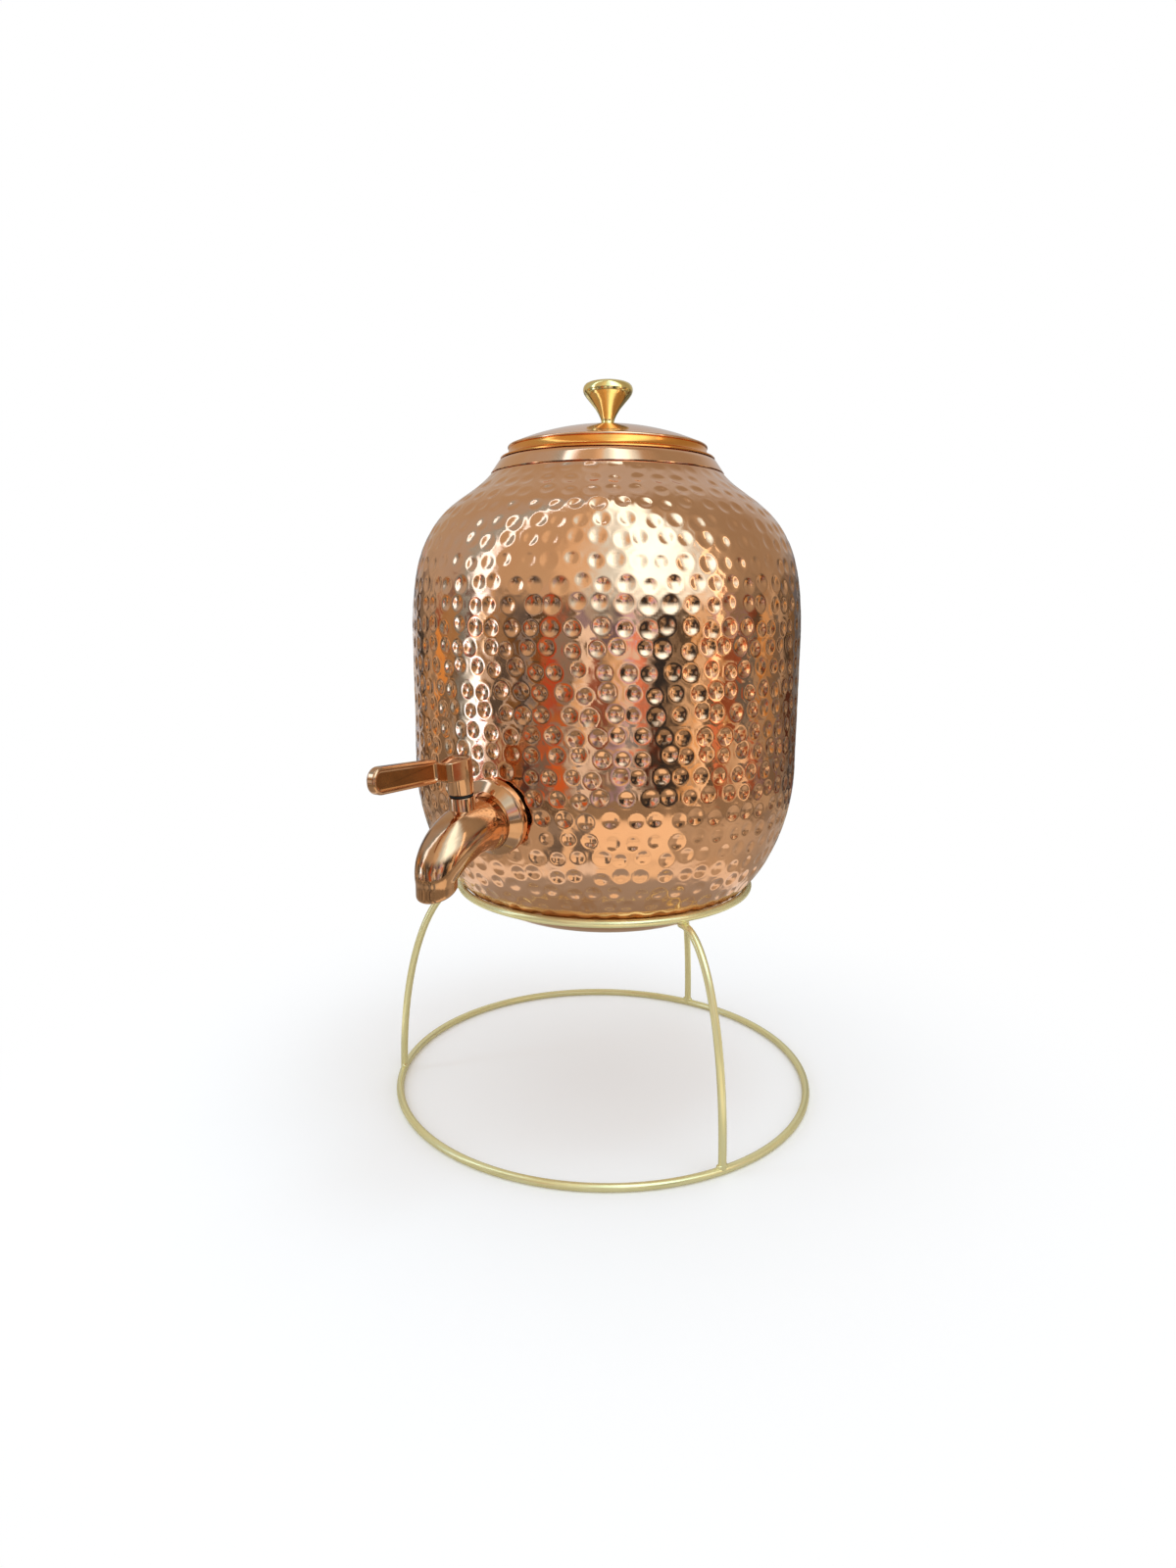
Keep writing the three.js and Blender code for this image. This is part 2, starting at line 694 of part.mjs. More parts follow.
function addTap() {
  addPiece('tap_body', tipped(tapBody()), polishedCopper);
  addPiece('tap_flange', tipped(tapFlange()), polishedCopper);
  addPiece('outer_gasket', outerGasket(), blackRubber);
  addPiece('inner_gasket', innerGasket(), blackRubber);
  const washer = ring(
    shankRadius + seatGap, innerWasherRadius, innerWasherFace - innerWasherThickness,
    innerWasherThickness, smallTurn,
  );
  addPiece('inner_washer', tipped(alongTap(washer)), steel);
  addPiece('lock_nut', tipped(lockNut()), polishedBrass);
}

// Valve: the plug turns in the boss with two rubber rings, under a threaded retainer
const hubFootZ = bossTopZ + stemWasherThickness + 2 * seatGap;
const squareTopZ = hubFootZ + stemSquareLength;
const socketTopZ = squareTopZ + seatGap;
const webTopZ = socketTopZ + leverWeb;
const hubTopZ = hubFootZ + hubHeight;
const retainerFootZ = bossTopZ - seatGap - retainerHeight;

function squarePost(side, z, height) {
  return new THREE.BoxGeometry(side, side, height).translate(0, 0, z + height / 2);
}

function valvePlug() {
  const foot = tapZ - plugFoot;
  const shoulderZ = tapZ + plugShoulder;
  const blank = join(
    atStem(turned([
      [0, foot], [plugRadius, foot], [plugRadius, shoulderZ], [stemRadius, shoulderZ],
      [stemRadius, hubFootZ], [0, hubFootZ],
    ], smallTurn)),
    atStem(squarePost(stemSquare, shoulderZ, squareTopZ - shoulderZ)),
  );
  const crossBore = turned([
    [0, -plugRadius - cutOverrun], [plugBoreRadius, -plugRadius - cutOverrun],
    [plugBoreRadius, plugRadius + cutOverrun], [0, plugRadius + cutOverrun],
  ], smallTurn).rotateY(Math.PI / 2).translate(0, -stemPlace, tapZ);
  const screwHole = atStem(post(
    leverScrewRadius + seatGap, squareTopZ - leverScrewLength - seatGap,
    leverScrewLength + cutOverrun, smallTurn,
  ));
  return cut(blank, crossBore, screwHole, ...ringHeights().map((z) => atStem(ring(
    plugRadius - ringGrooveDepth, plugRadius + cutOverrun, z - ringGrooveWidth / 2,
    ringGrooveWidth, smallTurn,
  ))));
}

function ringHeights() {
  return [tapZ + firstRingHeight, tapZ + firstRingHeight + ringPitch];
}

function plugRing(z) {
  const centre = plugRadius + seatGap - turnGap - ringSection / 2;
  const outline = [];
  for (let i = 0; i <= ringSides; i += 1) {
    const angle = i * 2 * Math.PI / ringSides;
    outline.push([
      centre + ringSection / 2 * Math.cos(angle), z + ringSection / 2 * Math.sin(angle),
    ]);
  }
  return atStem(turned(outline, smallTurn));
}

function addValve() {
  addPiece('valve_plug', tipped(valvePlug()), polishedBrass);
  const [lower, upper] = ringHeights();
  addPiece('plug_ring_lower', tipped(plugRing(lower)), blackRubber);
  addPiece('plug_ring_upper', tipped(plugRing(upper)), blackRubber);
  const retainer = ring(
    stemRadius + seatGap, plugRadius, retainerFootZ, retainerHeight, smallTurn,
  );
  addPiece('valve_retainer', tipped(atStem(retainer)), polishedBrass);
  const washer = ring(
    stemRadius + seatGap, bossRadius - stemWasherInset, bossTopZ + seatGap,
    stemWasherThickness, smallTurn,
  );
  addPiece('stem_washer', tipped(atStem(washer)), blackRubber);
}

// Lever: a flat arm with chamfered edges grows out of the hub and its drop-shaped top, and then
// the pockets and the hub are bored. The arm's outline runs outwards from the stem's axis.
function leverSide() {
  const top = hubTopZ;
  const tipTop = top + tipRise;
  const rootTop = top + paddleRise;
  const side = new THREE.Shape();
  side.moveTo(0, top - neckDepth);
  side.lineTo(browReach + browRadius, top - neckDepth);
  side.lineTo(paddleStart, rootTop - paddleDepthAtRoot);
  for (let i = 0; i <= tipSteps; i += 1) {
    const angle = -Math.PI / 2 + i * Math.PI / 2 / tipSteps;
    side.lineTo(
      leverReach - tipRound + tipRound * Math.cos(angle),
      tipTop - paddleDepthAtTip + tipRound + tipRound * Math.sin(angle),
    );
  }
  for (let i = 0; i <= tipSteps; i += 1) {
    const angle = i * Math.PI / 2 / tipSteps;
    side.lineTo(
      leverReach - tipRound + tipRound * Math.cos(angle),
      tipTop - tipRound + tipRound * Math.sin(angle),
    );
  }
  side.lineTo(paddleStart, rootTop);
  side.lineTo(browReach + browRadius, top);
  side.lineTo(0, top);
  return side;
}

// A drop seen from above, upright on the stem's axis, with its small end outwards
function drop(bigRadius, smallRadius, z, height) {
  const tangent = Math.acos((bigRadius - smallRadius) / browReach);
  const shape = new THREE.Shape();
  shape.absarc(browReach, 0, smallRadius, -tangent, tangent, false);
  shape.absarc(0, 0, bigRadius, tangent, 2 * Math.PI - tangent, false);
  return atStem(new THREE.ExtrudeGeometry(shape, {
    depth: height, bevelEnabled: false, curveSegments: smallTurn,
  }).rotateZ(-Math.PI / 2).translate(0, 0, z));
}

function pocketShape() {
  const rootTop = hubTopZ + paddleRise;
  const tipTop = hubTopZ + tipRise;
  const pocketStart = paddleStart + pocketBorder;
  const pocketEnd = leverReach - tipRound;
  const slope = (tipTop - rootTop) / (leverReach - tipRound - paddleStart);
  const pocket = new THREE.Shape();
  pocket.moveTo(pocketStart, rootTop - paddleDepthAtRoot + pocketBorder);
  pocket.lineTo(pocketEnd, tipTop - paddleDepthAtTip + pocketBorder);
  pocket.lineTo(pocketEnd + tipRound - pocketBorder, tipTop - paddleDepthAtTip + tipRound);
  pocket.lineTo(pocketEnd + tipRound - pocketBorder, tipTop - tipRound);
  pocket.lineTo(pocketEnd, tipTop - pocketBorder);
  pocket.lineTo(pocketStart, rootTop + slope * pocketBorder - pocketBorder);
  return pocket;
}

// A shape drawn outwards and upwards, made into a plate across the tap
function sidePlate(shape, thickness, offset, chamfer = 0) {
  return new THREE.ExtrudeGeometry(shape, {
    depth: thickness - 2 * chamfer, bevelEnabled: chamfer > 0, bevelThickness: chamfer,
    bevelSize: chamfer, bevelOffset: -chamfer, bevelSegments: 2, curveSegments: smallTurn,
  }).translate(0, 0, offset + chamfer).applyMatrix4(new THREE.Matrix4().set(
    0, 0, -1, 0,
    -1, 0, 0, -stemPlace,
    0, 1, 0, 0,
    0, 0, 0, 1,
  ));
}

function lever() {
  const arm = sidePlate(leverSide(), paddleThickness, -paddleThickness / 2, paddleChamfer);
  const brow = drop(hubRadius, browRadius, hubTopZ - neckDepth, neckDepth);
  const hub = atStem(post(hubRadius, hubFootZ, hubHeight, smallTurn));
  const deep = paddleThickness / 2 - pocketDepth;
  const pockets = [deep, -paddleThickness / 2 - cutOverrun].map((offset) => (
    sidePlate(pocketShape(), pocketDepth + cutOverrun, offset)
  ));
  const socketSide = stemSquare + 2 * seatGap;
  const socket = atStem(squarePost(
    socketSide, hubFootZ - cutOverrun, socketTopZ - hubFootZ + cutOverrun,
  ));
  const screwHole = atStem(post(leverScrewRadius + seatGap, socketTopZ - cutOverrun,
    leverWeb + 2 * cutOverrun, smallTurn));
  const counterbore = atStem(post(
    leverScrewHeadRadius + seatGap, webTopZ, hubTopZ - webTopZ + cutOverrun, smallTurn,
  ));
  const capSeatZ = hubTopZ - capSink - capThickness - seatGap;
  const recess = drop(
    capRadius + seatGap, capBrowRadius + seatGap, capSeatZ, hubTopZ + tipRise - capSeatZ,
  );
  const blank = join(arm, hub, brow);
  return cut(blank, ...pockets, socket, screwHole, counterbore, recess);
}

// The cap fills the drop's hollow, dished over the stem
function leverCap() {
  const top = hubTopZ - capSink;
  const plate = drop(capRadius, capBrowRadius, top - capThickness, capThickness);
  const dishRadius = capRadius * capDishShare;
  const ball = (dishRadius * dishRadius + capDish * capDish) / (2 * capDish);
  const arc = [[0, top - capDish]];
  for (let i = 1; i <= dishSteps; i += 1) {
    const r = dishRadius * i / dishSteps;
    arc.push([r, top - capDish + ball - Math.sqrt(ball * ball - r * r)]);
  }
  return cut(plate, atStem(turned([
    ...arc, [dishRadius, top + cutOverrun], [0, top + cutOverrun],
  ], smallTurn)));
}

function addLever() {
  addPiece('lever', tipped(lever()), polishedCopper);
  const headZ = webTopZ + seatGap;
  const screw = turned([
    [0, squareTopZ - leverScrewLength], [leverScrewRadius, squareTopZ - leverScrewLength],
    [leverScrewRadius, headZ], [leverScrewHeadRadius, headZ],
    [leverScrewHeadRadius, headZ + leverScrewHeadHeight], [0, headZ + leverScrewHeadHeight],
  ], smallTurn);
  addPiece('lever_screw', tipped(atStem(screw)), steel);
  addPiece('lever_cap', tipped(leverCap()), polishedCopper);
}

addStand();
addTank();
addLid();
addTap();
addValve();
addLever();

// The origin goes under the middle of the whole object
const bounds = new THREE.Box3().setFromObject(dispenser);
dispenser.position.y = -(bounds.min.y + bounds.max.y) / 2;
dispenser.updateMatrixWorld(true);

export default dispenser;
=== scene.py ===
import math
import random

import bpy
import numpy as np
from mathutils import Matrix, Vector


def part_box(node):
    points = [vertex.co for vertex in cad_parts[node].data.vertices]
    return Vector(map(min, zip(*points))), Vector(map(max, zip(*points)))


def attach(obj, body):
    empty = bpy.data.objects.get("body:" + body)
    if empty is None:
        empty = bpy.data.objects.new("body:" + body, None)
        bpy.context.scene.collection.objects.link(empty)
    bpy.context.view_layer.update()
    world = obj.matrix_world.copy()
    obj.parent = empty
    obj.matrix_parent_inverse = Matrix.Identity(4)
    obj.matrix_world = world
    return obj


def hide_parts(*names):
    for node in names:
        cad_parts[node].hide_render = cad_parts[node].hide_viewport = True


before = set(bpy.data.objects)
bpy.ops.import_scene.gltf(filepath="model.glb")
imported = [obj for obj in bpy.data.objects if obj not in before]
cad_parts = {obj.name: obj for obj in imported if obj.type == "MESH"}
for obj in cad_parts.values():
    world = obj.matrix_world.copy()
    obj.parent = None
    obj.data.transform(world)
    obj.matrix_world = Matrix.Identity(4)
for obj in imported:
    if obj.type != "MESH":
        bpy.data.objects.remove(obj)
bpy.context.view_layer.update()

MM = 0.001
random.seed(7)
np.random.seed(7)

# Points closer than this are one, and a large round piece has this many sides
MERGE_DISTANCE = 0.004
ROUND_TURNS = 128

# The tank's axis, from its own node
tank_low, tank_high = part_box("tank_lower")
AXIS_Y = (tank_low.y + tank_high.y) / 2 / MM
TANK_FOOT = tank_low.z / MM

# Tank outline, heights from its own base
TANK_RADIUS = 101
TANK_WALL = 1.2
FOOT_RADIUS = 44.6
SIDE_START = 82
SIDE_END = 149
CREASE_HEIGHT = 227.9
CREASE_RADIUS = 59.5
CREASE_LIP = 1.7
SHOULDER_PULL = 62.7
SHOULDER_END = 16.6
SHOULDER_SLOPE = 0.91
SEAM_HEIGHT = 216
SEAM_GAP = 0.2

# How closely the tank's mesh follows it: points of an arc, turns round, and steps along the wall
ARC_STEPS = 90
TANK_TURNS = 590
GRID_STEP = 1.02
LINE_STEP = 2
INSIDE_STEP = 12
SKIN_TOLERANCE = 0.35
BASE_MARGIN = 0.02

# Hammering: round marks in rows, each one beaten into the wall, with the hand's small errors.
# A raised lip rings each mark, and a share is one of the mark's own size or depth. The marks
# are struck softly near the foot and the crease, at heights given from the ground.
MARK_PITCH = 10.1
ROW_PITCH = 9.5
FIRST_ROW = 20
LAST_ROW_GAP = 3
MARK_RADIUS = 3.45
MARK_DEPTH = 0.66
ROW_REACH = 2 * MARK_RADIUS + 1.4
ROW_ERROR = 0.5
SIDEWAYS_ERROR = 1.5
UPWARDS_ERROR = 1.2
SIZE_SHARES = (0.86, 1.12)
DEPTH_SHARES = (0.65, 1.15)
LIP_PLACE_SHARE = 1.2
LIP_WIDTH_SHARE = 0.2
LIP_HEIGHT_SHARE = 0.17
LIP_ROOM = 0.12
FORCE_HEIGHTS = (112, 122, 130, 300, 322, 329)
FORCE_SHARES = (0.1, 0.5, 1, 1, 0.75, 0.35)

# Soft waves left in the sheet: their number, their turns round the tank, their rise along it
# and the sum that makes a full crest. They calm down towards the foot and the crease.
WAVE_DEPTH = 0.34
WAVE_COUNT = 26
WAVE_TURNS = (5, 34)
WAVE_RISE = 0.22
WAVE_CREST = 9
CALM_HEIGHTS = (TANK_FOOT + 2, 122, 322, 330)

# Neck, lid and knob. A line is a table of (outwards, upwards) from a radius and a height.
RIM_RADIUS = 55
RIM_HEIGHT = 337.9
NECK_COVE_LINE = [
    (-1.6, 0.1), (0.1, 0.1), (0.15, 0.5), (-0.2, 1), (-1.6, 3), (-3, 5), (-4, 6.4),
]
NECK_RIM_LINE = [
    (0, -0.45), (-0.25, -0.12), (-0.7, 0), (-2.2, 0), (-2.7, -0.2), (-2.8, -0.7), (-2.4, -1.3),
    (-1.2, -1.8),
]
NECK_BACK_LINE = [(-4.4, 4.6), (-2.7, 2.2), (-1.6, 0.1)]
LID_EDGE_RADIUS = 51
LID_EDGE_HEIGHT = 344.9
LID_TOP_HEIGHT = 355.4
LID_WALL = 1
LID_INSIDE = 49.2
LID_HOLE = 2.1
LID_BEAD = 0.75
LID_BEAD_ANGLES = range(70, -80, -24)
DOME_MARGIN = 0.8
DOME_STEPS = 24
UNDER_STEPS = 8
COVE_STEPS = 10
COVE_RADIUS = 50.55
COVE_REACH = 54.0
COVE_DROP = 1.7
COVE_FOOT = 1.25
COVE_POWER = 0.9
BRIM_LINE = [(-0.5, 1.2), (-0.2, 0.9), (-0.2, 0.45), (-0.4, 0.3)]
SKIRT_RADIUS = 51.4
SKIRT_FOOT = 328.9
SKIRT_LINE = [(-1, 0.3), (-0.7, 0), (-0.3, 0), (0, 0.3), (0, 9), (-1, 9), (-1, 0.3)]
KNOB_RADIUS = 12.65
KNOB_FOOT = 355.7
KNOB_TOP = 377.6
KNOB_SHARES = [
    (0.285, 0.0), (0.285, 0.02), (0.265, 0.05), (0.262, 0.1), (0.29, 0.155), (0.37, 0.25),
    (0.5, 0.37), (0.69, 0.5), (0.87, 0.62), (0.955, 0.69), (0.99, 0.74), (1.0, 0.785),
    (0.99, 0.83), (0.955, 0.875), (0.895, 0.91), (0.8, 0.935), (0.62, 0.962), (0.4, 0.985),
    (0.2, 0.997), (0, 1.0),
]

# Where the cove's painted reflection lies, a deeper orange for the copper mirroring itself: past a
# radius, over the rim and under the lid's edge
COVE_PAINT_RADIUS = 50.2
COVE_PAINT_OVER = 0.6
COVE_PAINT_UNDER = 1.1

# Tap: it stands square to the sloping wall. It is made level and then tipped, so distances
# run outwards from the wall and heights up from the tap's own axis.
OUTWARDS = (0, -1, 0)
TAP_HEIGHT = 171.0
TAP_WALL = 100.18
TAP_LEAN = 6.747
ROSE_BACK = 1.6
ROSE_LIP = 0.25
ROSE_EDGE = 4.0
ROSE_CROWN = 7.7
ROSE_RADIUS = 18.1
ROSE_BORE = 8.3
ROSE_RELIEF = 1.1
ROSE_ROUNDING = 0.22
ROSE_BACK_LINE = [(-0.9, 0), (-0.2, 0), (0, 0.2)]
ROSE_FRONT_LINE = [(0, -0.75), (-0.22, -0.2), (-0.7, 0.1)]
CROWN_RADIUS = 13.6
CONE_STEPS = 8
HOLLOW_END = 12
ROOT_RADIUS = 12.6
ROOT_GAP = 0.12
ROOT_DROP = 1.4
ROOT_END = 8.3
SWELL_EASE = 1.6
SHANK_RADIUS = 8
SHANK_REACH = 20
TUBE_START = 4.3
TUBE_RADIUS = 12.4
TUBE_STEP = 1
BEND_START = 14.4
BEND_REACH = 29.9
BEND_DROP = 16.2
BEND_RADIUS = 12.0
BEND_STEPS = 40
OUTLET_DROP = 5.6
OUTLET_STEPS = 4
OUTLET_RADIUS = 8.9
MOUTH_SLANT = 20
MOUTH_START = 1.4
MOUTH_ROUNDING = 1.3
MOUTH_LINE = [(7.1, 0), (6.8, -0.3), (6.7, -4), (6.6, -9), (6.3, -14), (0, -14)]
SLANT_STARTS = 9
SLANT_ENDS = 2
STEM = 22.5
BOSS_RADIUS = 5.9
BOSS_FOOT = 2
BOSS_TOP = 16.1
BOSS_EDGE_LINE = [(0, -0.45), (-0.13, -0.13), (-0.45, 0)]

# Lever: a hub with a drop-shaped top, a neck and a paddle. The drop's hollow holds the cap.
HUB_RADIUS = 5.8
HUB_FOOT = 17.3
HUB_TOP = 33.1
HUB_EDGE_LINE = [(-0.6, 0), (-0.17, 0.17), (0, 0.6)]
HUB_UNDER_TOP = 3
DROP_REACH = 6.8
DROP_RADIUS = 3.7
DROP_TALL = 8.6
DROP_MARGIN = 0.03
DROP_ROUNDING = 0.4
WELL_RADIUS = 4.5
WELL_END_RADIUS = 2.5
WELL_DEPTH = 2.2
WELL_OVERRUN = 4
CAP_GAP = 0.12
CAP_SUNK = 0.35
CAP_THICK = 1.5
DISH_STEPS = [(0.35, 0), (0.5, 0.3), (0.7, 0.22), (0.5, 0.08)]
LEVER_ROOT = 15.5
LEVER_REACH = 53.7
NECK_HALF = 1.7
NECK_ROUNDING = 0.6
NECK_LINE = [(9.7, -7.7), (LEVER_ROOT + 1.6, -5.9), (LEVER_ROOT + 1.6, 2.6), (9.7, -0.3)]
PADDLE_HALF = 2.2
PADDLE_ROOT_RISE = 3.4
PADDLE_TIP_RISE = 9.6
PADDLE_ROOT_TALL = 10.3
PADDLE_TIP_TALL = 11.4
PADDLE_CORNERS = (2.6, 5.0, 5.2, 2.0)
PADDLE_ROUNDING = 1.05
CORNER_STEPS = 8

# Pockets, sunk in the paddle's two large faces. Their floors are found again by area and by
# distance from the paddle's middle.
POCKET_STEPS = [(0.12, 0), (0.35, 0.45), (0.25, 0.4), (0.5, 0.1)]
POCKET_FACE_AREA = 60
POCKET_FLOOR_AREA = 20
POCKET_FLOOR_PLACES = (1.1, 1.9)

# Stand, and the beads of brazing metal on each leg's ends: radius, along the ring and height
WIRE_RADIUS = 2
WIRE_SIDES = 20
RING_TURNS = 160
BASE_RING_RADIUS = 114.55
BASE_RING_HEIGHT = 1.85
TOP_RING_RADIUS = 78.8
TOP_RING_HEIGHT = 116.8
LEG_ANGLES = {"leg_rear": 90, "leg_left": 210, "leg_right": 330}
LEG_INSET = 1.4
LEG_STUB = 2
LEG_GAP = 0.05
LOW_BEAD_SIZE = (2.0, 3.3, 1.7)
LOW_BEAD_INSET = 0.1
LOW_BEAD_HEIGHT = 3.9
HIGH_BEAD_SIZE = (2.4, 3.0, 1.5)
HIGH_BEAD_INSET = 0.2
HIGH_BEAD_DROP = 2.1
BEAD_WOBBLE = 0.18
BEAD_FLOOR = 0.02
WOBBLE = (2600, 2300, 2900)
CIRCLE_HANDLE_SHARE = 0.5523

# Smears in the gloss, as a share of a metal's colour patches, and the mottle in rubber
SMEAR_SHARE = 0.4
RUBBER_MOTTLE = 4

# The camera that took the photo: focal length in pixels of a 1200 by 1600 image
FOCAL = 988.3
IMAGE_HEIGHT = 1600
CAMERA_TURN = 30
CAMERA_DISTANCE = 519.5
CAMERA_HEIGHT = 266.7
CAMERA_PITCH = 10.57
CAMERA_YAW = -1.01
CAMERA_ROLL = 0.28


def deselect():
    if bpy.context.object and bpy.context.object.mode != "OBJECT":
        bpy.ops.object.mode_set(mode="OBJECT")
    bpy.ops.object.select_all(action="DESELECT")


def settle(name, smooth_angle=40):
    """Names the active object, puts its place into its mesh and smooths its gentle edges."""
    if bpy.context.object.mode != "OBJECT":
        bpy.ops.object.mode_set(mode="OBJECT")
    piece = bpy.context.object
    piece.name = name
    piece.data.name = name
    bpy.ops.object.transform_apply(location=True, rotation=True, scale=True)
    bpy.ops.object.shade_smooth_by_angle(angle=math.radians(smooth_angle))
    return piece


def apply_modifier(piece, kind, **settings):
    modifier = piece.modifiers.new(kind.title(), kind)
    for key, value in settings.items():
        setattr(modifier, key, value)
    bpy.context.view_layer.objects.active = piece
    bpy.ops.object.modifier_apply(modifier=modifier.name)


def draw_chain(points):
    """A new object in edit mode, with a chain of edges from point to point, all selected."""
    deselect()
    bpy.ops.mesh.primitive_plane_add(size=MM, location=points[0])
    bpy.ops.object.mode_set(mode="EDIT")
    bpy.ops.mesh.select_mode(type="VERT")
    bpy.ops.mesh.select_all(action="SELECT")
    bpy.ops.mesh.merge(type="CENTER")
    for start, end in zip(points, points[1:]):
        bpy.ops.mesh.extrude_vertices_move(TRANSFORM_OT_translate={"value": end - start})
    bpy.ops.mesh.select_all(action="SELECT")


def clean_mesh():
    """Merges double points and turns all faces outwards, in edit mode."""
    bpy.ops.mesh.select_all(action="SELECT")
    bpy.ops.mesh.remove_doubles(threshold=MERGE_DISTANCE * MM)
    bpy.ops.mesh.normals_make_consistent(inside=False)


def turned(name, outline, turns, smooth_angle=40, foot=None, axis=(0, 0, 1)):
    """A shape turned round an axis, from an outline of (radius, distance along it)."""
    foot = foot or Vector((0, AXIS_Y, 0))
    draw_chain([(foot + Vector((r, 0, 0)) + Vector(axis) * a) * MM for r, a in outline])
    bpy.ops.mesh.spin(steps=turns, angle=2 * math.pi, center=foot * MM, axis=axis)
    clean_mesh()
    return settle(name, smooth_angle)


def swept(name, points, radius, sides):
    """A round bar along a curve of Bezier points, each (place, handle back, handle on)."""
    deselect()
    bpy.ops.curve.primitive_bezier_curve_add()
    curve = bpy.context.object.data
    curve.dimensions = "3D"
    curve.bevel_depth = radius * MM
    curve.bevel_resolution = sides // 4 - 1
    curve.use_fill_caps = True
    curve.resolution_u = 24
    spline = curve.splines[0]
    spline.bezier_points.add(len(points) - 2)
    for knot, (place, back, on) in zip(spline.bezier_points, points):
        knot.handle_left_type = knot.handle_right_type = "FREE"
        knot.co = place * MM
        knot.handle_left = back * MM
        knot.handle_right = on * MM
    bpy.ops.object.convert(target="MESH")
    bpy.ops.object.mode_set(mode="EDIT")
    clean_mesh()
    return settle(name)


def joined(name, first, *others, smooth_angle=40):
    deselect()
    for piece in (first, *others):
        piece.select_set(True)
    bpy.context.view_layer.objects.active = first
    bpy.ops.object.join()
    return settle(name, smooth_angle)


def cut_away(piece, tool):
    """Cuts one piece out of another and removes it."""
    deselect()
    piece.select_set(True)
    apply_modifier(piece, "BOOLEAN", operation="DIFFERENCE", object=tool, solver="EXACT")
    bpy.data.objects.remove(tool)


def round_edges(piece, width, segments, angle):
    """Rounds the edges that are sharper than an angle."""
    apply_modifier(piece, "BEVEL", width=width * MM, segments=segments, limit_method="ANGLE",
                   angle_limit=math.radians(angle))


def sink(steps):
    """Sinks the picked faces in steps of (inwards, down), in edit mode."""
    for inwards, down in steps:
        bpy.ops.mesh.inset(thickness=inwards * MM, depth=-down * MM)


def get_places(piece):
    """The places of a piece's points, as rows of an array."""
    places = np.zeros(len(piece.data.vertices) * 3)
    piece.data.vertices.foreach_get("co", places)
    return places.reshape(-1, 3)


def set_places(piece, places):
    piece.data.vertices.foreach_set("co", places.ravel())
    piece.data.update()


def moved(line, radius, height):
    """A line of (outwards, upwards) placed at a radius and a height."""
    return [(radius + r, height + z) for r, z in line]


def tank_outline():
    """The tank's outside from the middle of its base to the crease, at close steps."""
    path = [(0, 0), (FOOT_RADIUS, 0)]
    for i in range(1, ARC_STEPS + 1):
        angle = math.pi / 2 * i / ARC_STEPS
        r = FOOT_RADIUS + (TANK_RADIUS - FOOT_RADIUS) * math.sin(angle)
        path.append((r, SIDE_START * (1 - math.cos(angle))))
    corners = [
        (TANK_RADIUS, SIDE_END),
        (TANK_RADIUS, SIDE_END + SHOULDER_PULL),
        (CREASE_RADIUS + SHOULDER_END * SHOULDER_SLOPE, CREASE_HEIGHT - SHOULDER_END),
        (CREASE_RADIUS, CREASE_HEIGHT),
    ]
    for i in range(ARC_STEPS + 1):
        t = i / ARC_STEPS
        weights = ((1 - t) ** 3, 3 * t * (1 - t) ** 2, 3 * t * t * (1 - t), t**3)
        path.append(tuple(sum(w * c[k] for w, c in zip(weights, corners)) for k in (0, 1)))
    return [(r, z + TANK_FOOT) for r, z in path]


def line_lengths(line):
    """How far along a line each of its points is."""
    return np.concatenate([[0], np.cumsum(np.hypot(*np.diff(line, axis=0).T))])


def line_runs(line):
    """The direction of a line at each of its points."""
    run = np.gradient(line, axis=0)
    return run / np.hypot(run[:, 0], run[:, 1])[:, None]


def along_line(line, lengths, place):
    """The radius and height at a distance along a line."""
    return (float(np.interp(place, lengths, line[:, 0])), float(np.interp(place, lengths, line[:, 1])))


def even_steps(path, step):
    """The same line, with a point at every step along it."""
    line = np.array(path)
    lengths = line_lengths(line)
    count = max(2, round(lengths[-1] / step))
    return [along_line(line, lengths, place) for place in np.linspace(0, lengths[-1], count + 1)]


def inset_line(path, distance):
    """The line moved inwards from the tank's outside."""
    line = np.array(path)
    run = line_runs(line)
    inside = line + np.column_stack([-run[:, 1], run[:, 0]]) * distance
    return [(float(max(r, 0)), float(z)) for r, z in inside]


def plan_marks(line):
    """Rows of hammer marks along the wall, each mark with the hand's small errors."""
    lengths = line_lengths(line)
    marks = []
    place = FOOT_RADIUS + FIRST_ROW
    while place < lengths[-1] - LAST_ROW_GAP:
        row = place + random.uniform(-ROW_ERROR, ROW_ERROR)
        radius, height = along_line(line, lengths, row)
        number = round(2 * math.pi * radius / MARK_PITCH)
        force = float(np.interp(height, FORCE_HEIGHTS, FORCE_SHARES))
        marks.append({
            "row": row,
            "number": number,
            "phase": random.uniform(0, 2 * math.pi / number),
            "sideways": np.random.uniform(-SIDEWAYS_ERROR, SIDEWAYS_ERROR, number) / radius,
            "upwards": np.random.uniform(-UPWARDS_ERROR, UPWARDS_ERROR, number),
            "size": MARK_RADIUS * np.random.uniform(*SIZE_SHARES, number),
            "depth": force * MARK_DEPTH * np.random.uniform(*DEPTH_SHARES, number),
        })
        place += ROW_PITCH
    return marks


def plan_waves():
    """Soft waves, each as turns round the tank, rise along the wall, and start."""
    return [
        (
            random.randint(*WAVE_TURNS), random.uniform(-WAVE_RISE, WAVE_RISE),
            random.uniform(0, 2 * math.pi),
        )
        for _ in range(WAVE_COUNT)
    ]


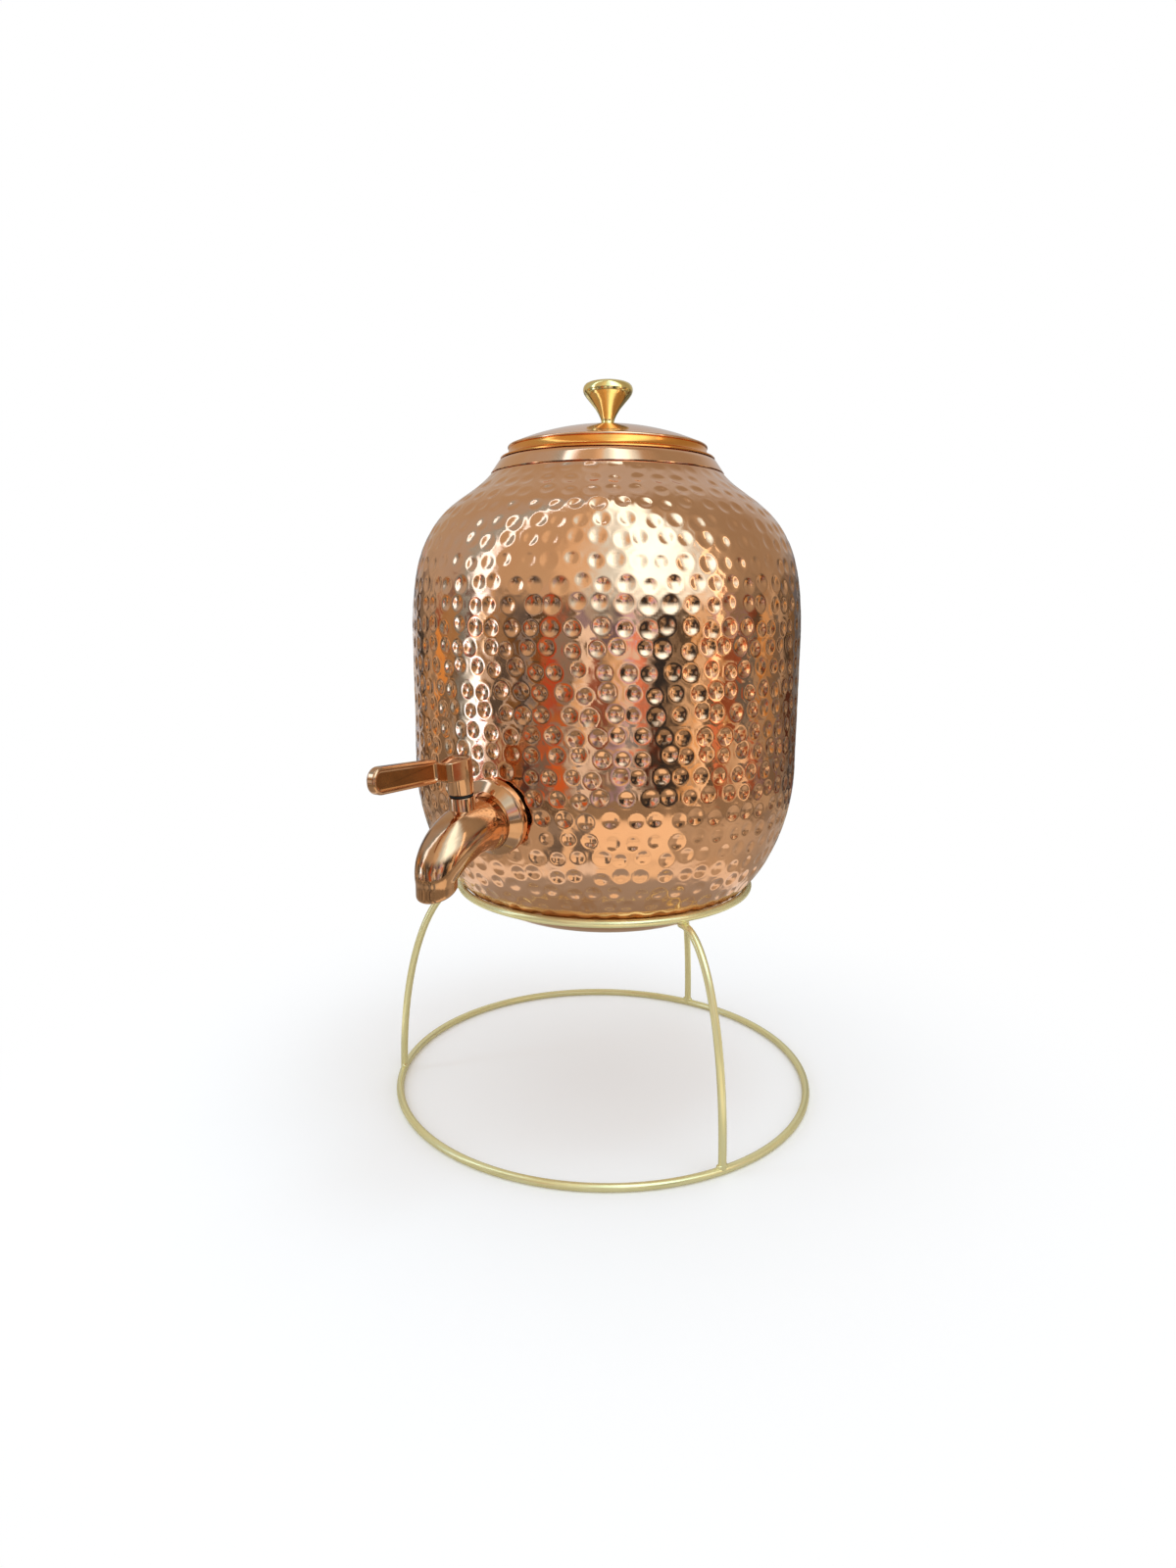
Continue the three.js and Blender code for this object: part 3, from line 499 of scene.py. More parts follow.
def hammer(piece, line, marks, waves):
    """Beats the marks and the soft waves between them into the tank's outer skin."""
    lengths = line_lengths(line)
    run = line_runs(line)
    places = get_places(piece)
    x, y, z = places[:, 0] / MM, places[:, 1] / MM - AXIS_Y, places[:, 2] / MM
    radius = np.hypot(x, y)
    angle = np.arctan2(y, x)
    s = np.interp(z, line[2:, 1], lengths[2:])
    outside = np.abs(radius - np.interp(s, lengths, line[:, 0])) < SKIN_TOLERANCE
    outside &= z > TANK_FOOT + BASE_MARGIN
    depth = np.zeros(len(places))
    lip = np.zeros(len(places))
    for mark in marks:
        step = 2 * math.pi / mark["number"]
        near = outside & (np.abs(s - mark["row"]) < ROW_REACH)
        nearest = np.round((angle[near] - mark["phase"]) / step).astype(int)
        for offset in (-1, 0, 1):
            one = (nearest + offset) % mark["number"]
            gap = angle[near] - (mark["phase"] + (nearest + offset) * step + mark["sideways"][one])
            along = s[near] - mark["row"] - mark["upwards"][one]
            reach = np.hypot(gap * radius[near], along) / mark["size"][one]
            bowl = np.clip(1 - reach**2, 0, 1)
            depth[near] = np.maximum(depth[near], mark["depth"][one] * bowl)
            raised = np.exp(-(((reach - LIP_PLACE_SHARE) / LIP_WIDTH_SHARE) ** 2))
            lip[near] = np.maximum(lip[near], LIP_HEIGHT_SHARE * mark["depth"][one] * raised)
    wave = sum(np.sin(turns * angle + rise * s + start) for turns, rise, start in waves)
    wave = 0.5 + 0.5 * np.clip(wave / WAVE_CREST, -1, 1)
    calm = np.interp(z, CALM_HEIGHTS, (0, 1, 1, 0))
    inward = depth + (LIP_ROOM - lip) * calm + WAVE_DEPTH * wave * calm
    inward = np.where(outside, inward, 0)
    normal_r = np.interp(s, lengths, run[:, 1])
    normal_z = np.interp(s, lengths, -run[:, 0])
    places[:, 0] -= inward * normal_r * np.cos(angle) * MM
    places[:, 1] -= inward * normal_r * np.sin(angle) * MM
    places[:, 2] -= inward * normal_z * MM
    set_places(piece, places)


def make_tank():
    """The two shells of the tank, which meet in a seam between two rows of marks."""
    outside = tank_outline()
    line = np.array(even_steps(outside, LINE_STEP))
    marks = plan_marks(line)
    waves = plan_waves()
    lengths = line_lengths(line)
    rows = [mark["row"] for mark in marks]
    heights = [
        along_line(line, lengths, (low + high) / 2)[1] for low, high in zip(rows, rows[1:])
    ]
    seam = min(heights, key=lambda height: abs(height - SEAM_HEIGHT))
    seam_edge = (TANK_RADIUS, seam)
    low_wall = [place for place in outside[1:] if place[1] < seam - SEAM_GAP] + [seam_edge]
    high_wall = [seam_edge] + [place for place in outside if place[1] > seam + SEAM_GAP]
    low_inside = inset_line(even_steps(low_wall, INSIDE_STEP), TANK_WALL)[1:-1]
    high_inside = inset_line(even_steps(high_wall, INSIDE_STEP), TANK_WALL)[1:-1]
    inner_edge = (TANK_RADIUS - TANK_WALL, seam)
    low_line = [
        (0, TANK_FOOT), (FOOT_RADIUS / 2, TANK_FOOT), *even_steps(low_wall, GRID_STEP),
        inner_edge, *reversed(low_inside), (FOOT_RADIUS, TANK_FOOT + TANK_WALL),
        (0, TANK_FOOT + TANK_WALL),
    ]
    high_line = [
        *even_steps(high_wall, GRID_STEP),
        (CREASE_RADIUS - CREASE_LIP, TANK_FOOT + CREASE_HEIGHT),
        *reversed(high_inside), inner_edge, seam_edge,
    ]
    shells = []
    for name, node, outline in (
        ("hammered_lower_shell", "tank_lower", low_line),
        ("hammered_upper_shell", "tank_upper", high_line),
    ):
        piece = turned(name, outline, TANK_TURNS, 60)
        hammer(piece, line, marks, waves)
        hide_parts(node)
        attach(piece, "tank")
        shells.append(piece)
    return shells


def make_neck():
    crease = TANK_FOOT + CREASE_HEIGHT
    line = [
        *moved(NECK_COVE_LINE, CREASE_RADIUS, crease),
        *moved(NECK_RIM_LINE, RIM_RADIUS, RIM_HEIGHT),
        *moved(NECK_BACK_LINE, CREASE_RADIUS, crease),
    ]
    piece = turned("neck_band", line, ROUND_TURNS)
    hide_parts("neck_collar")
    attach(piece, "tank")
    return piece


def dome_places(radii, edge, top):
    """Places on a round dome that falls by the lid's own rise from its top to its edge."""
    rise = LID_TOP_HEIGHT - LID_EDGE_HEIGHT
    ball = (edge**2 + rise**2) / (2 * rise)
    return [(r, top - ball + math.sqrt(ball**2 - r**2)) for r in radii]


def make_lid():
    """The lid's shell: dome, rolled bead, cove, brim and underside."""
    edge = LID_EDGE_RADIUS - DOME_MARGIN
    outer_radii = [
        LID_HOLE + (edge - LID_HOLE) * i / DOME_STEPS for i in range(1, DOME_STEPS + 1)
    ]
    inner_radii = [
        LID_INSIDE - (LID_INSIDE - LID_HOLE) * i / UNDER_STEPS for i in range(UNDER_STEPS + 1)
    ]
    bead = [
        (
            LID_EDGE_RADIUS - LID_BEAD + LID_BEAD * math.cos(math.radians(angle)),
            LID_EDGE_HEIGHT - LID_BEAD + LID_BEAD * math.sin(math.radians(angle)),
        )
        for angle in LID_BEAD_ANGLES
    ]
    cove_top = LID_EDGE_HEIGHT - COVE_DROP
    cove_foot = RIM_HEIGHT + COVE_FOOT
    cove = []
    for i in range(COVE_STEPS + 1):
        angle = math.pi / 2 * i / COVE_STEPS
        cove.append((
            COVE_REACH - (COVE_REACH - COVE_RADIUS) * math.cos(angle) ** COVE_POWER,
            cove_top - (cove_top - cove_foot) * math.sin(angle),
        ))
    brim = [*moved(BRIM_LINE, RIM_RADIUS, RIM_HEIGHT), (LID_INSIDE, RIM_HEIGHT + BRIM_LINE[-1][1])]
    line = [
        (LID_HOLE, LID_TOP_HEIGHT), *dome_places(outer_radii, edge, LID_TOP_HEIGHT),
        *bead, *cove, *brim, *dome_places(inner_radii, LID_INSIDE, LID_TOP_HEIGHT - LID_WALL),
        (LID_HOLE, LID_TOP_HEIGHT),
    ]
    piece = turned("lid_shell", line, ROUND_TURNS, 35)
    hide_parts("lid_dome")
    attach(piece, "lid")
    return piece


def make_skirt():
    """The ring under the lid that keeps it in the middle of the neck."""
    piece = turned("lid_locating_ring", moved(SKIRT_LINE, SKIRT_RADIUS, SKIRT_FOOT), ROUND_TURNS)
    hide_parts("lid_skirt")
    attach(piece, "lid")
    return piece


def make_knob():
    tall = KNOB_TOP - KNOB_FOOT
    flare = [(r * KNOB_RADIUS, KNOB_FOOT + h * tall) for r, h in KNOB_SHARES]
    piece = turned("flared_knob", [(0, KNOB_FOOT), *flare], 72, 50)
    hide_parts("lid_knob")
    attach(piece, "lid")
    return piece


def out(away, up, across=0.0):
    """A place at a distance outwards from the wall along the level tap, and above its axis."""
    return Vector((across, AXIS_Y - TAP_WALL - away, TAP_HEIGHT + up))


def tip(piece):
    """Tips a level piece of the tap so that the tap stands square to the wall."""
    deselect()
    piece.select_set(True)
    bpy.context.view_layer.objects.active = piece
    bpy.ops.transform.rotate(
        value=-math.radians(TAP_LEAN), orient_axis="X", center_override=out(0, 0) * MM
    )
    bpy.ops.object.transform_apply(location=True, rotation=True, scale=True)


def spout_line():
    """The spout's middle line: distance along it, outwards, height, turn and radius there."""
    line = [
        (TUBE_START, -ROOT_DROP, 0, ROOT_RADIUS), (ROOT_END, -ROOT_DROP, 0, ROOT_RADIUS),
        (ROOT_END + SWELL_EASE, -0.9 * ROOT_DROP, 0, ROOT_RADIUS),
        (BEND_START - SWELL_EASE, -0.1 * ROOT_DROP, 0, TUBE_RADIUS),
        (BEND_START, 0, 0, TUBE_RADIUS),
    ]
    plumb = math.pi / 2 - math.radians(TAP_LEAN)
    whole = math.atan2(math.sin(plumb) * BEND_REACH, math.cos(plumb) * BEND_DROP)
    for i in range(1, BEND_STEPS + 1):
        share = i / BEND_STEPS
        angle = whole * share
        left = 1 - share
        line.append((
            BEND_START + BEND_REACH * math.sin(angle), BEND_DROP * (math.cos(angle) - 1),
            math.atan2(BEND_DROP * math.sin(angle), BEND_REACH * math.cos(angle)),
            TUBE_RADIUS * left**2 + 2 * BEND_RADIUS * share * left + OUTLET_RADIUS * share**2,
        ))
    away, up = line[-1][:2]
    for i in range(1, OUTLET_STEPS + 1):
        drop = OUTLET_DROP * i / OUTLET_STEPS
        line.append((
            away + drop * math.cos(plumb), up - drop * math.sin(plumb), plumb, OUTLET_RADIUS,
        ))
    table = np.array(line)
    return np.column_stack([TUBE_START + line_lengths(table[:, :2]), table])


def bend_spout(piece, line):
    """Bends the straight tube along the spout's middle line, and cuts its mouth on the slant."""
    places = get_places(piece)
    along = AXIS_Y - TAP_WALL - places[:, 1] / MM
    up = places[:, 2] / MM - TAP_HEIGHT
    end = line[-1, 0]
    slant = np.interp(along, [end - SLANT_STARTS, end - SLANT_ENDS], [0, 1])
    along += up * math.tan(math.radians(MOUTH_SLANT)) * slant
    over = np.clip(along - end, 0, None)
    away, high, turn = (np.interp(along, line[:, 0], line[:, k]) for k in (1, 2, 3))
    away += over * np.cos(turn) + up * np.sin(turn)
    high += up * np.cos(turn) - over * np.sin(turn)
    places[:, 1] = (AXIS_Y - TAP_WALL - away) * MM
    places[:, 2] = (TAP_HEIGHT + high) * MM
    set_places(piece, places)


def make_spout():
    """The spout with its boss and its shank, which lies hidden in the tank's wall."""
    line = spout_line()
    end = line[-1, 0]
    places = [
        *np.linspace(TUBE_START + TUBE_STEP, BEND_START, 8),
        *np.linspace(BEND_START + TUBE_STEP, end - MOUTH_START, 44),
    ]
    rounding = [
        (
            OUTLET_RADIUS - MOUTH_ROUNDING + MOUTH_ROUNDING * math.cos(math.radians(angle)),
            end - MOUTH_ROUNDING + MOUTH_ROUNDING * math.sin(math.radians(angle)),
        )
        for angle in range(15, 91, 15)
    ]
    tube = [
        (0, TUBE_START), (line[0, 4], TUBE_START),
        *((float(np.interp(s, line[:, 0], line[:, 4])), float(s)) for s in places),
        *rounding, *moved(MOUTH_LINE, 0, end),
    ]
    spout = turned("spout", tube, 72, 40, out(0, 0), OUTWARDS)
    bend_spout(spout, line)
    boss = turned("boss", [
        (0, BOSS_FOOT), (BOSS_RADIUS, BOSS_FOOT), *moved(BOSS_EDGE_LINE, BOSS_RADIUS, BOSS_TOP),
        (0, BOSS_TOP),
    ], 56, 40, out(STEM, 0))
    shank = turned("shank", [
        (0, -SHANK_REACH), (SHANK_RADIUS, -SHANK_REACH), (SHANK_RADIUS, TUBE_START + TUBE_STEP),
        (0, TUBE_START + TUBE_STEP),
    ], 40, 40, out(0, 0), OUTWARDS)
    spout = joined("spout", spout, boss, shank)
    tip(spout)
    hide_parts("tap_body")
    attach(spout, "tank")
    return spout


def make_rose():
    """The tap's rose: a thick edge, and a cone that swells up to the tube's root."""
    line = [
        (ROSE_BORE, ROSE_BACK), (ROSE_RADIUS - ROSE_RELIEF, ROSE_BACK),
        *moved(ROSE_BACK_LINE, ROSE_RADIUS, ROSE_LIP),
        *moved(ROSE_FRONT_LINE, ROSE_RADIUS, ROSE_EDGE),
    ]
    edge, face = line[-1]
    for i in range(1, CONE_STEPS + 1):
        share = i / CONE_STEPS
        line.append((edge - (edge - CROWN_RADIUS) * share, face + (ROSE_CROWN - face) * share))
    line += [(ROSE_BORE, ROSE_CROWN), (ROSE_BORE, ROSE_BACK)]
    piece = turned("rose", line, 96, 30, out(0, 0), OUTWARDS)
    root = ROOT_RADIUS + ROOT_GAP
    hollow = turned("hollow", [
        (0, ROSE_EDGE), (root, ROSE_EDGE), (root, HOLLOW_END), (0, HOLLOW_END),
    ], 96, 40, out(0, -ROOT_DROP), OUTWARDS)
    cut_away(piece, hollow)
    round_edges(piece, ROSE_ROUNDING, 2, 45)
    bpy.ops.object.shade_smooth_by_angle(angle=math.radians(30))
    tip(piece)
    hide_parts("tap_flange")
    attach(piece, "tank")
    return piece


def drop_post(name, big, small, foot, top):
    """An upright post on the stem whose plan is a drop, with its small end outwards."""
    deselect()
    ends = []
    for radius, away in ((big, STEM), (small, STEM + DROP_REACH)):
        bpy.ops.mesh.primitive_cylinder_add(
            vertices=64, radius=radius * MM, depth=(top - foot) * MM,
            location=out(away, (foot + top) / 2) * MM,
        )
        ends.append(bpy.context.object)
    joined(name, *ends)
    bpy.ops.object.mode_set(mode="EDIT")
    bpy.ops.mesh.select_all(action="SELECT")
    bpy.ops.mesh.convex_hull()
    bpy.ops.mesh.select_all(action="SELECT")
    bpy.ops.mesh.dissolve_limited(angle_limit=math.radians(0.5))
    return settle(name)


def plate(name, outline, half):
    """A flat plate across the tap, from an outline of (outwards, up) drawn in order."""
    draw_chain([out(a, u, -half) * MM for a, u in outline])
    bpy.ops.mesh.edge_face_add()
    bpy.ops.mesh.extrude_region_move(TRANSFORM_OT_translate={"value": (2 * half * MM, 0, 0)})
    bpy.ops.mesh.select_all(action="SELECT")
    bpy.ops.mesh.normals_make_consistent(inside=False)
    return settle(name)


def pick_faces(piece, wanted):
    """Leaves only the faces selected that a test picks, in edit mode."""
    bpy.ops.object.mode_set(mode="OBJECT")
    deselect()
    piece.select_set(True)
    bpy.context.view_layer.objects.active = piece
    bpy.ops.object.mode_set(mode="EDIT")
    bpy.ops.mesh.select_mode(type="FACE")
    bpy.ops.mesh.select_all(action="DESELECT")
    bpy.ops.object.mode_set(mode="OBJECT")
    for face in piece.data.polygons:
        face.select = wanted(face)
    bpy.ops.object.mode_set(mode="EDIT")


def paddle_outline():
    """The paddle's side: rounded corners, a rising top edge and a slower rising bottom one."""
    start, end = STEM + LEVER_ROOT, STEM + LEVER_REACH
    root_top, tip_top = HUB_TOP + PADDLE_ROOT_RISE, HUB_TOP + PADDLE_TIP_RISE
    root_foot, tip_foot = root_top - PADDLE_ROOT_TALL, tip_top - PADDLE_TIP_TALL
    corners = [(start, root_foot), (end, tip_foot), (end, tip_top), (start, root_top)]
    outline = []
    for k, (corner, radius) in enumerate(zip(corners, PADDLE_CORNERS)):
        here = Vector(corner)
        before = (Vector(corners[k - 1]) - here).normalized()
        after = (Vector(corners[(k + 1) % 4]) - here).normalized()
        half_turn = before.angle(after) / 2
        centre = here + (before + after).normalized() * radius / math.sin(half_turn)
        first = here + before * radius / math.tan(half_turn) - centre
        last = here + after * radius / math.tan(half_turn) - centre
        sweep = first.angle_signed(last)
        for i in range(CORNER_STEPS + 1):
            arm = first.copy()
            arm.rotate(Matrix.Rotation(-sweep * i / CORNER_STEPS, 2))
            outline.append(tuple(centre + arm))
    return outline


def make_paddle():
    """The flat paddle, rounded all round, with a stepped pocket in both sides."""
    paddle = plate("paddle", paddle_outline(), PADDLE_HALF)
    pick_faces(paddle, lambda face: abs(face.normal.x) > 0.9)
    bpy.ops.mesh.select_mode(type="EDGE")
    bpy.ops.mesh.region_to_loop()
    bpy.ops.mesh.bevel(offset=PADDLE_ROUNDING * MM, segments=5, affect="EDGES", profile=0.5)
    large = POCKET_FACE_AREA * MM**2
    for side in (1, -1):
        pick_faces(paddle, lambda face: face.normal.x * side > 0.99 and face.area > large)
        sink(POCKET_STEPS)
    return settle("paddle", 35)


def make_lever():
    """The lever in one piece: hub, drop-shaped brow with a well for the cap, neck and paddle."""
    paddle = make_paddle()
    hub = turned("hub", [
        (0, HUB_FOOT), *moved(HUB_EDGE_LINE, HUB_RADIUS, HUB_FOOT),
        (HUB_RADIUS, HUB_TOP - HUB_UNDER_TOP), (0, HUB_TOP - HUB_UNDER_TOP),
    ], 64, 40, out(STEM, 0))
    brow = drop_post("brow", HUB_RADIUS - DROP_MARGIN, DROP_RADIUS, HUB_TOP - DROP_TALL, HUB_TOP)
    round_edges(brow, DROP_ROUNDING, 3, 60)
    well = drop_post("well", WELL_RADIUS, WELL_END_RADIUS, HUB_TOP - WELL_DEPTH,
                     HUB_TOP + WELL_OVERRUN)
    cut_away(brow, well)
    neck = plate("neck", moved(NECK_LINE, STEM, HUB_TOP), NECK_HALF)
    round_edges(neck, NECK_ROUNDING, 3, 60)
    handle = joined("lever_handle", hub, brow, neck, paddle)
    tip(handle)
    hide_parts("lever")
    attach(handle, "lever")
    return handle


def make_cap():
    """The pale cap that fills the drop's hollow, dished in the middle."""
    top = HUB_TOP - CAP_SUNK
    piece = drop_post("hub_cap", WELL_RADIUS - CAP_GAP, WELL_END_RADIUS - CAP_GAP,
                      top - CAP_THICK, top)
    pick_faces(piece, lambda face: face.normal.z > 0.99)
    sink(DISH_STEPS)
    piece = settle("hub_cap", 60)
    tip(piece)
    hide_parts("lever_cap")
    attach(piece, "lever")
    return piece


def make_ring(name, node, radius, height):
    """One of the stand's rings, flat where it touches the ground."""
    deselect()
    bpy.ops.mesh.primitive_torus_add(
        location=(0, AXIS_Y * MM, height * MM), major_radius=radius * MM,
        minor_radius=WIRE_RADIUS * MM, major_segments=RING_TURNS, minor_segments=WIRE_SIDES,
    )
    piece = settle(name, 60)
    for vertex in piece.data.vertices:
        vertex.co.z = max(vertex.co.z, 0)
    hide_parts(node)
    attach(piece, "stand")
    return piece


def round_axis(angle, radius, height):
    """A place round the tank's axis."""
    turn = math.radians(angle)
    return Vector((radius * math.cos(turn), AXIS_Y + radius * math.sin(turn), height))


def weld_bead(angle, radius, height, size):
    """A small run of brazing metal where two wires meet, with an uneven skin."""
    deselect()
    bpy.ops.mesh.primitive_uv_sphere_add(
        segments=20, ring_count=12, radius=MM, rotation=(0, 0, math.radians(angle)), scale=size,
        location=round_axis(angle, radius, height) * MM,
    )
    bead = settle("bead", 60)
    for vertex in bead.data.vertices:
        x, y, z = vertex.co
        wobble = math.sin(x * WOBBLE[0]) * math.sin(y * WOBBLE[1] + 1) * math.sin(z * WOBBLE[2])
        vertex.co.z = max(z + BEAD_WOBBLE * MM * wobble, BEAD_FLOOR * MM)
    return bead


def make_leg(node):
    """A leg: a wire that curves from under the top ring down to the base ring, and its beads."""
    angle = LEG_ANGLES[node]
    inner = TOP_RING_RADIUS - LEG_INSET
    top = TOP_RING_HEIGHT - 2 * WIRE_RADIUS - LEG_GAP
    foot = BASE_RING_HEIGHT
    outer = BASE_RING_RADIUS
    bend_start = inner + CIRCLE_HANDLE_SHARE * (outer - inner)
    bend_end = foot + CIRCLE_HANDLE_SHARE * (top - foot)
    knots = [
        [(inner - LEG_STUB, top), (inner - LEG_STUB - 1, top), (inner - LEG_STUB + 1, top)],
        [(inner, top), (inner - 1, top), (bend_start, top)],
        [(outer, foot), (outer, bend_end), (outer, foot - 1)],
    ]
    wire = swept("wire", [[round_axis(angle, *place) for place in knot] for knot in knots],
                 WIRE_RADIUS, WIRE_SIDES)
    low_bead = weld_bead(angle, outer - LOW_BEAD_INSET, LOW_BEAD_HEIGHT, LOW_BEAD_SIZE)
    high_bead = weld_bead(angle, inner - HIGH_BEAD_INSET, TOP_RING_HEIGHT - HIGH_BEAD_DROP,
                          HIGH_BEAD_SIZE)
    piece = joined(node.replace("leg", "wire_leg"), wire, low_bead, high_bead, smooth_angle=60)
    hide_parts(node)
    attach(piece, "stand")
    return piece


def linear(code):
    """An sRGB hex colour as linear red, green, blue and alpha."""
    parts = [int(code[i:i + 2], 16) / 255 for i in (0, 2, 4)]
    return (*(p / 12.92 if p <= 0.04045 else ((p + 0.055) / 1.055) ** 2.4 for p in parts), 1.0)


def add_node(tree, kind, links=None, **settings):
    """Adds a node, sets its properties or sockets, and links sockets of other nodes to it."""
    node = tree.nodes.new(kind)
    for key, value in settings.items():
        if hasattr(node, key):
            setattr(node, key, value)
        else:
            node.inputs[key.replace("_", " ")].default_value = value
    for socket, source in (links or {}).items():
        tree.links.new(source, node.inputs[socket])
    return node


def new_material(name):
    material = bpy.data.materials.new(name)
    material.use_nodes = True
    material.node_tree.nodes.clear()
    return material, material.node_tree


def mottle(tree, place, light, dark, patch_mm, roughness=0.5):
    """Two close colours in soft patches."""
    patches = add_node(tree, "ShaderNodeTexNoise", {"Vector": place}, Scale=1 / (patch_mm * MM),
                       Detail=3.0, Roughness=roughness)
    colour = add_node(tree, "ShaderNodeMix", {"Factor": patches.outputs["Fac"]}, data_type="RGBA")
    colour.inputs[6].default_value = linear(light)
    colour.inputs[7].default_value = linear(dark)
    return colour.outputs[2]


def fine_grain(tree, place, grain_mm, depth_mm):
    """The normal of a surface with a fine grain."""
    grain = add_node(tree, "ShaderNodeTexNoise", {"Vector": place}, Scale=1 / (grain_mm * MM),
                     Detail=2.0)
    bump = add_node(tree, "ShaderNodeBump", {"Height": grain.outputs["Fac"]}, Strength=1.0,
                    Distance=depth_mm * MM)
    return bump.outputs["Normal"]


def uneven(tree, place, scale, detail, low, high, **settings):
    """A value that wanders between two bounds from place to place."""
    noise = add_node(tree, "ShaderNodeTexNoise", {"Vector": place}, Scale=scale, Detail=detail,
                     **settings)
    value = add_node(tree, "ShaderNodeMapRange", {"Value": noise.outputs["Fac"]}, From_Min=0.3,
                     From_Max=0.7, To_Min=low, To_Max=high)
    return value.outputs["Result"]


def metal(name, light, dark, roughness, spread, grain_mm, grain_depth_mm, patch_mm, bare=1.0):
    """Two close colours in soft patches, uneven gloss and a fine surface grain. Under a cloudy
    lacquer less than all of the metal is bare."""
    material, tree = new_material(name)
    place = add_node(tree, "ShaderNodeTexCoord").outputs["Object"]
    shader = add_node(tree, "ShaderNodeBsdfPrincipled", {
        "Base Color": mottle(tree, place, light, dark, patch_mm, 0.55),
        "Roughness": uneven(tree, place, 1 / (patch_mm * SMEAR_SHARE * MM), 4.0,
                            roughness - spread, roughness + spread, Roughness=0.6),
        "Normal": fine_grain(tree, place, grain_mm, grain_depth_mm),
    }, Metallic=bare)
    add_node(tree, "ShaderNodeOutputMaterial", {"Surface": shader.outputs["BSDF"]})
    return material


def moulded(name, light, dark, roughness, grain_mm, grain_depth_mm):
    """Moulded rubber: a faint mottle and a fine grain."""
    material, tree = new_material(name)
    place = add_node(tree, "ShaderNodeTexCoord").outputs["Object"]
    shader = add_node(tree, "ShaderNodeBsdfPrincipled", {
        "Base Color": mottle(tree, place, light, dark, RUBBER_MOTTLE),
        "Normal": fine_grain(tree, place, grain_mm, grain_depth_mm),
    }, Roughness=roughness)
    add_node(tree, "ShaderNodeOutputMaterial", {"Surface": shader.outputs["BSDF"]})
    return material


def dress(piece, *materials):
    piece.data.materials.clear()
    for material in materials:
        piece.data.materials.append(material)


def in_cove(face):
    """Whether a face of the lid lies in the cove under its bead."""
    reach = math.hypot(face.center.x, face.center.y - AXIS_Y * MM) / MM
    height = face.center.z / MM
    over, under = height - RIM_HEIGHT, LID_EDGE_HEIGHT - height
    return reach > COVE_PAINT_RADIUS and over > COVE_PAINT_OVER and under > COVE_PAINT_UNDER


def in_pocket(face):
    """Whether a face of the lever is the flat floor of a pocket."""
    near, far = POCKET_FLOOR_PLACES
    deep = near < abs(face.center.x) / MM < far
    return deep and abs(face.normal.x) > 0.98 and face.area > POCKET_FLOOR_AREA * MM**2


def make_camera():
    """The photo's camera, turned round the tank's axis to where the photo was taken."""
    yaw = math.radians(CAMERA_YAW)
    pitch = math.radians(CAMERA_PITCH)
    roll = math.radians(CAMERA_ROLL)
    forward = Vector((
        math.sin(yaw) * math.cos(pitch), math.cos(yaw) * math.cos(pitch), -math.sin(pitch),
    ))
    right = forward.cross(Vector((0, 0, 1))).normalized()
    up = right.cross(forward)
    rolled_right = math.cos(roll) * right + math.sin(roll) * up
    rolled_up = -math.sin(roll) * right + math.cos(roll) * up
    axes = Matrix((rolled_right, rolled_up, -forward)).transposed()
    stand_turn = Matrix.Rotation(math.radians(CAMERA_TURN), 3, "Z")
    place = stand_turn @ Vector((0, -CAMERA_DISTANCE, CAMERA_HEIGHT)) + Vector((0, AXIS_Y, 0))
    data = bpy.data.cameras.new("camera")
    data.sensor_fit = "VERTICAL"
    data.sensor_height = 36
    data.lens = FOCAL / IMAGE_HEIGHT * data.sensor_height
    data.clip_start = 0.01
    camera = bpy.data.objects.new("camera", data)
    bpy.context.scene.collection.objects.link(camera)
    camera.matrix_world = Matrix.Translation(place * MM) @ (stand_turn @ axes).to_4x4()
    bpy.context.scene.camera = camera


def make_lamp(name, angle, distance, height, width, tall, power, tint, mirrored=False):
    """A soft panel lamp at an angle from the camera's side, to the right when positive. Only a
    mirrored one shows in the metal, since the room's panels stand in for the others."""
    data = bpy.data.lights.new(name, "AREA")
    data.color = tint
    data.shape = "RECTANGLE"
    data.size = width
    data.size_y = tall
    data.energy = power
    lamp = bpy.data.objects.new(name, data)
    lamp.visible_glossy = mirrored
    bpy.context.scene.collection.objects.link(lamp)
    lamp.location = round_axis(CAMERA_TURN - 90 + angle, distance / MM, height / MM) * MM
    aim = Vector((0, AXIS_Y * MM, LAMP_AIM))
    lamp.rotation_euler = (aim - lamp.location).to_track_quat("-Z", "Y").to_euler()


def seen_plainly(tree):
    """One for rays that see the backdrop as it is: straight, mirrored or through glass."""
    path = add_node(tree, "ShaderNodeLightPath").outputs
    seen = add_node(tree, "ShaderNodeMath", {0: path["Is Camera Ray"], 1: path["Is Glossy Ray"]},
                    operation="MAXIMUM")
    seen = add_node(tree, "ShaderNodeMath", {0: seen.outputs[0], 1: path["Is Transmission Ray"]},
                    operation="MAXIMUM")
    return seen.outputs[0]


def make_world():
    """A white world, seen at full strength and a little dimmer as the fill light."""
    world = bpy.data.worlds.new("world")
    bpy.context.scene.world = world
    world.use_nodes = True
    tree = world.node_tree
    tree.nodes.clear()
    backdrop = add_node(tree, "ShaderNodeBackground", Color=WHITE, Strength=1.0)
    fill = add_node(tree, "ShaderNodeBackground", Color=WHITE, Strength=FILL_STRENGTH)
    mix = add_node(tree, "ShaderNodeMixShader", {0: seen_plainly(tree), 1: fill.outputs[0],
                                                 2: backdrop.outputs[0]})
    add_node(tree, "ShaderNodeOutputWorld", {"Surface": mix.outputs[0]})


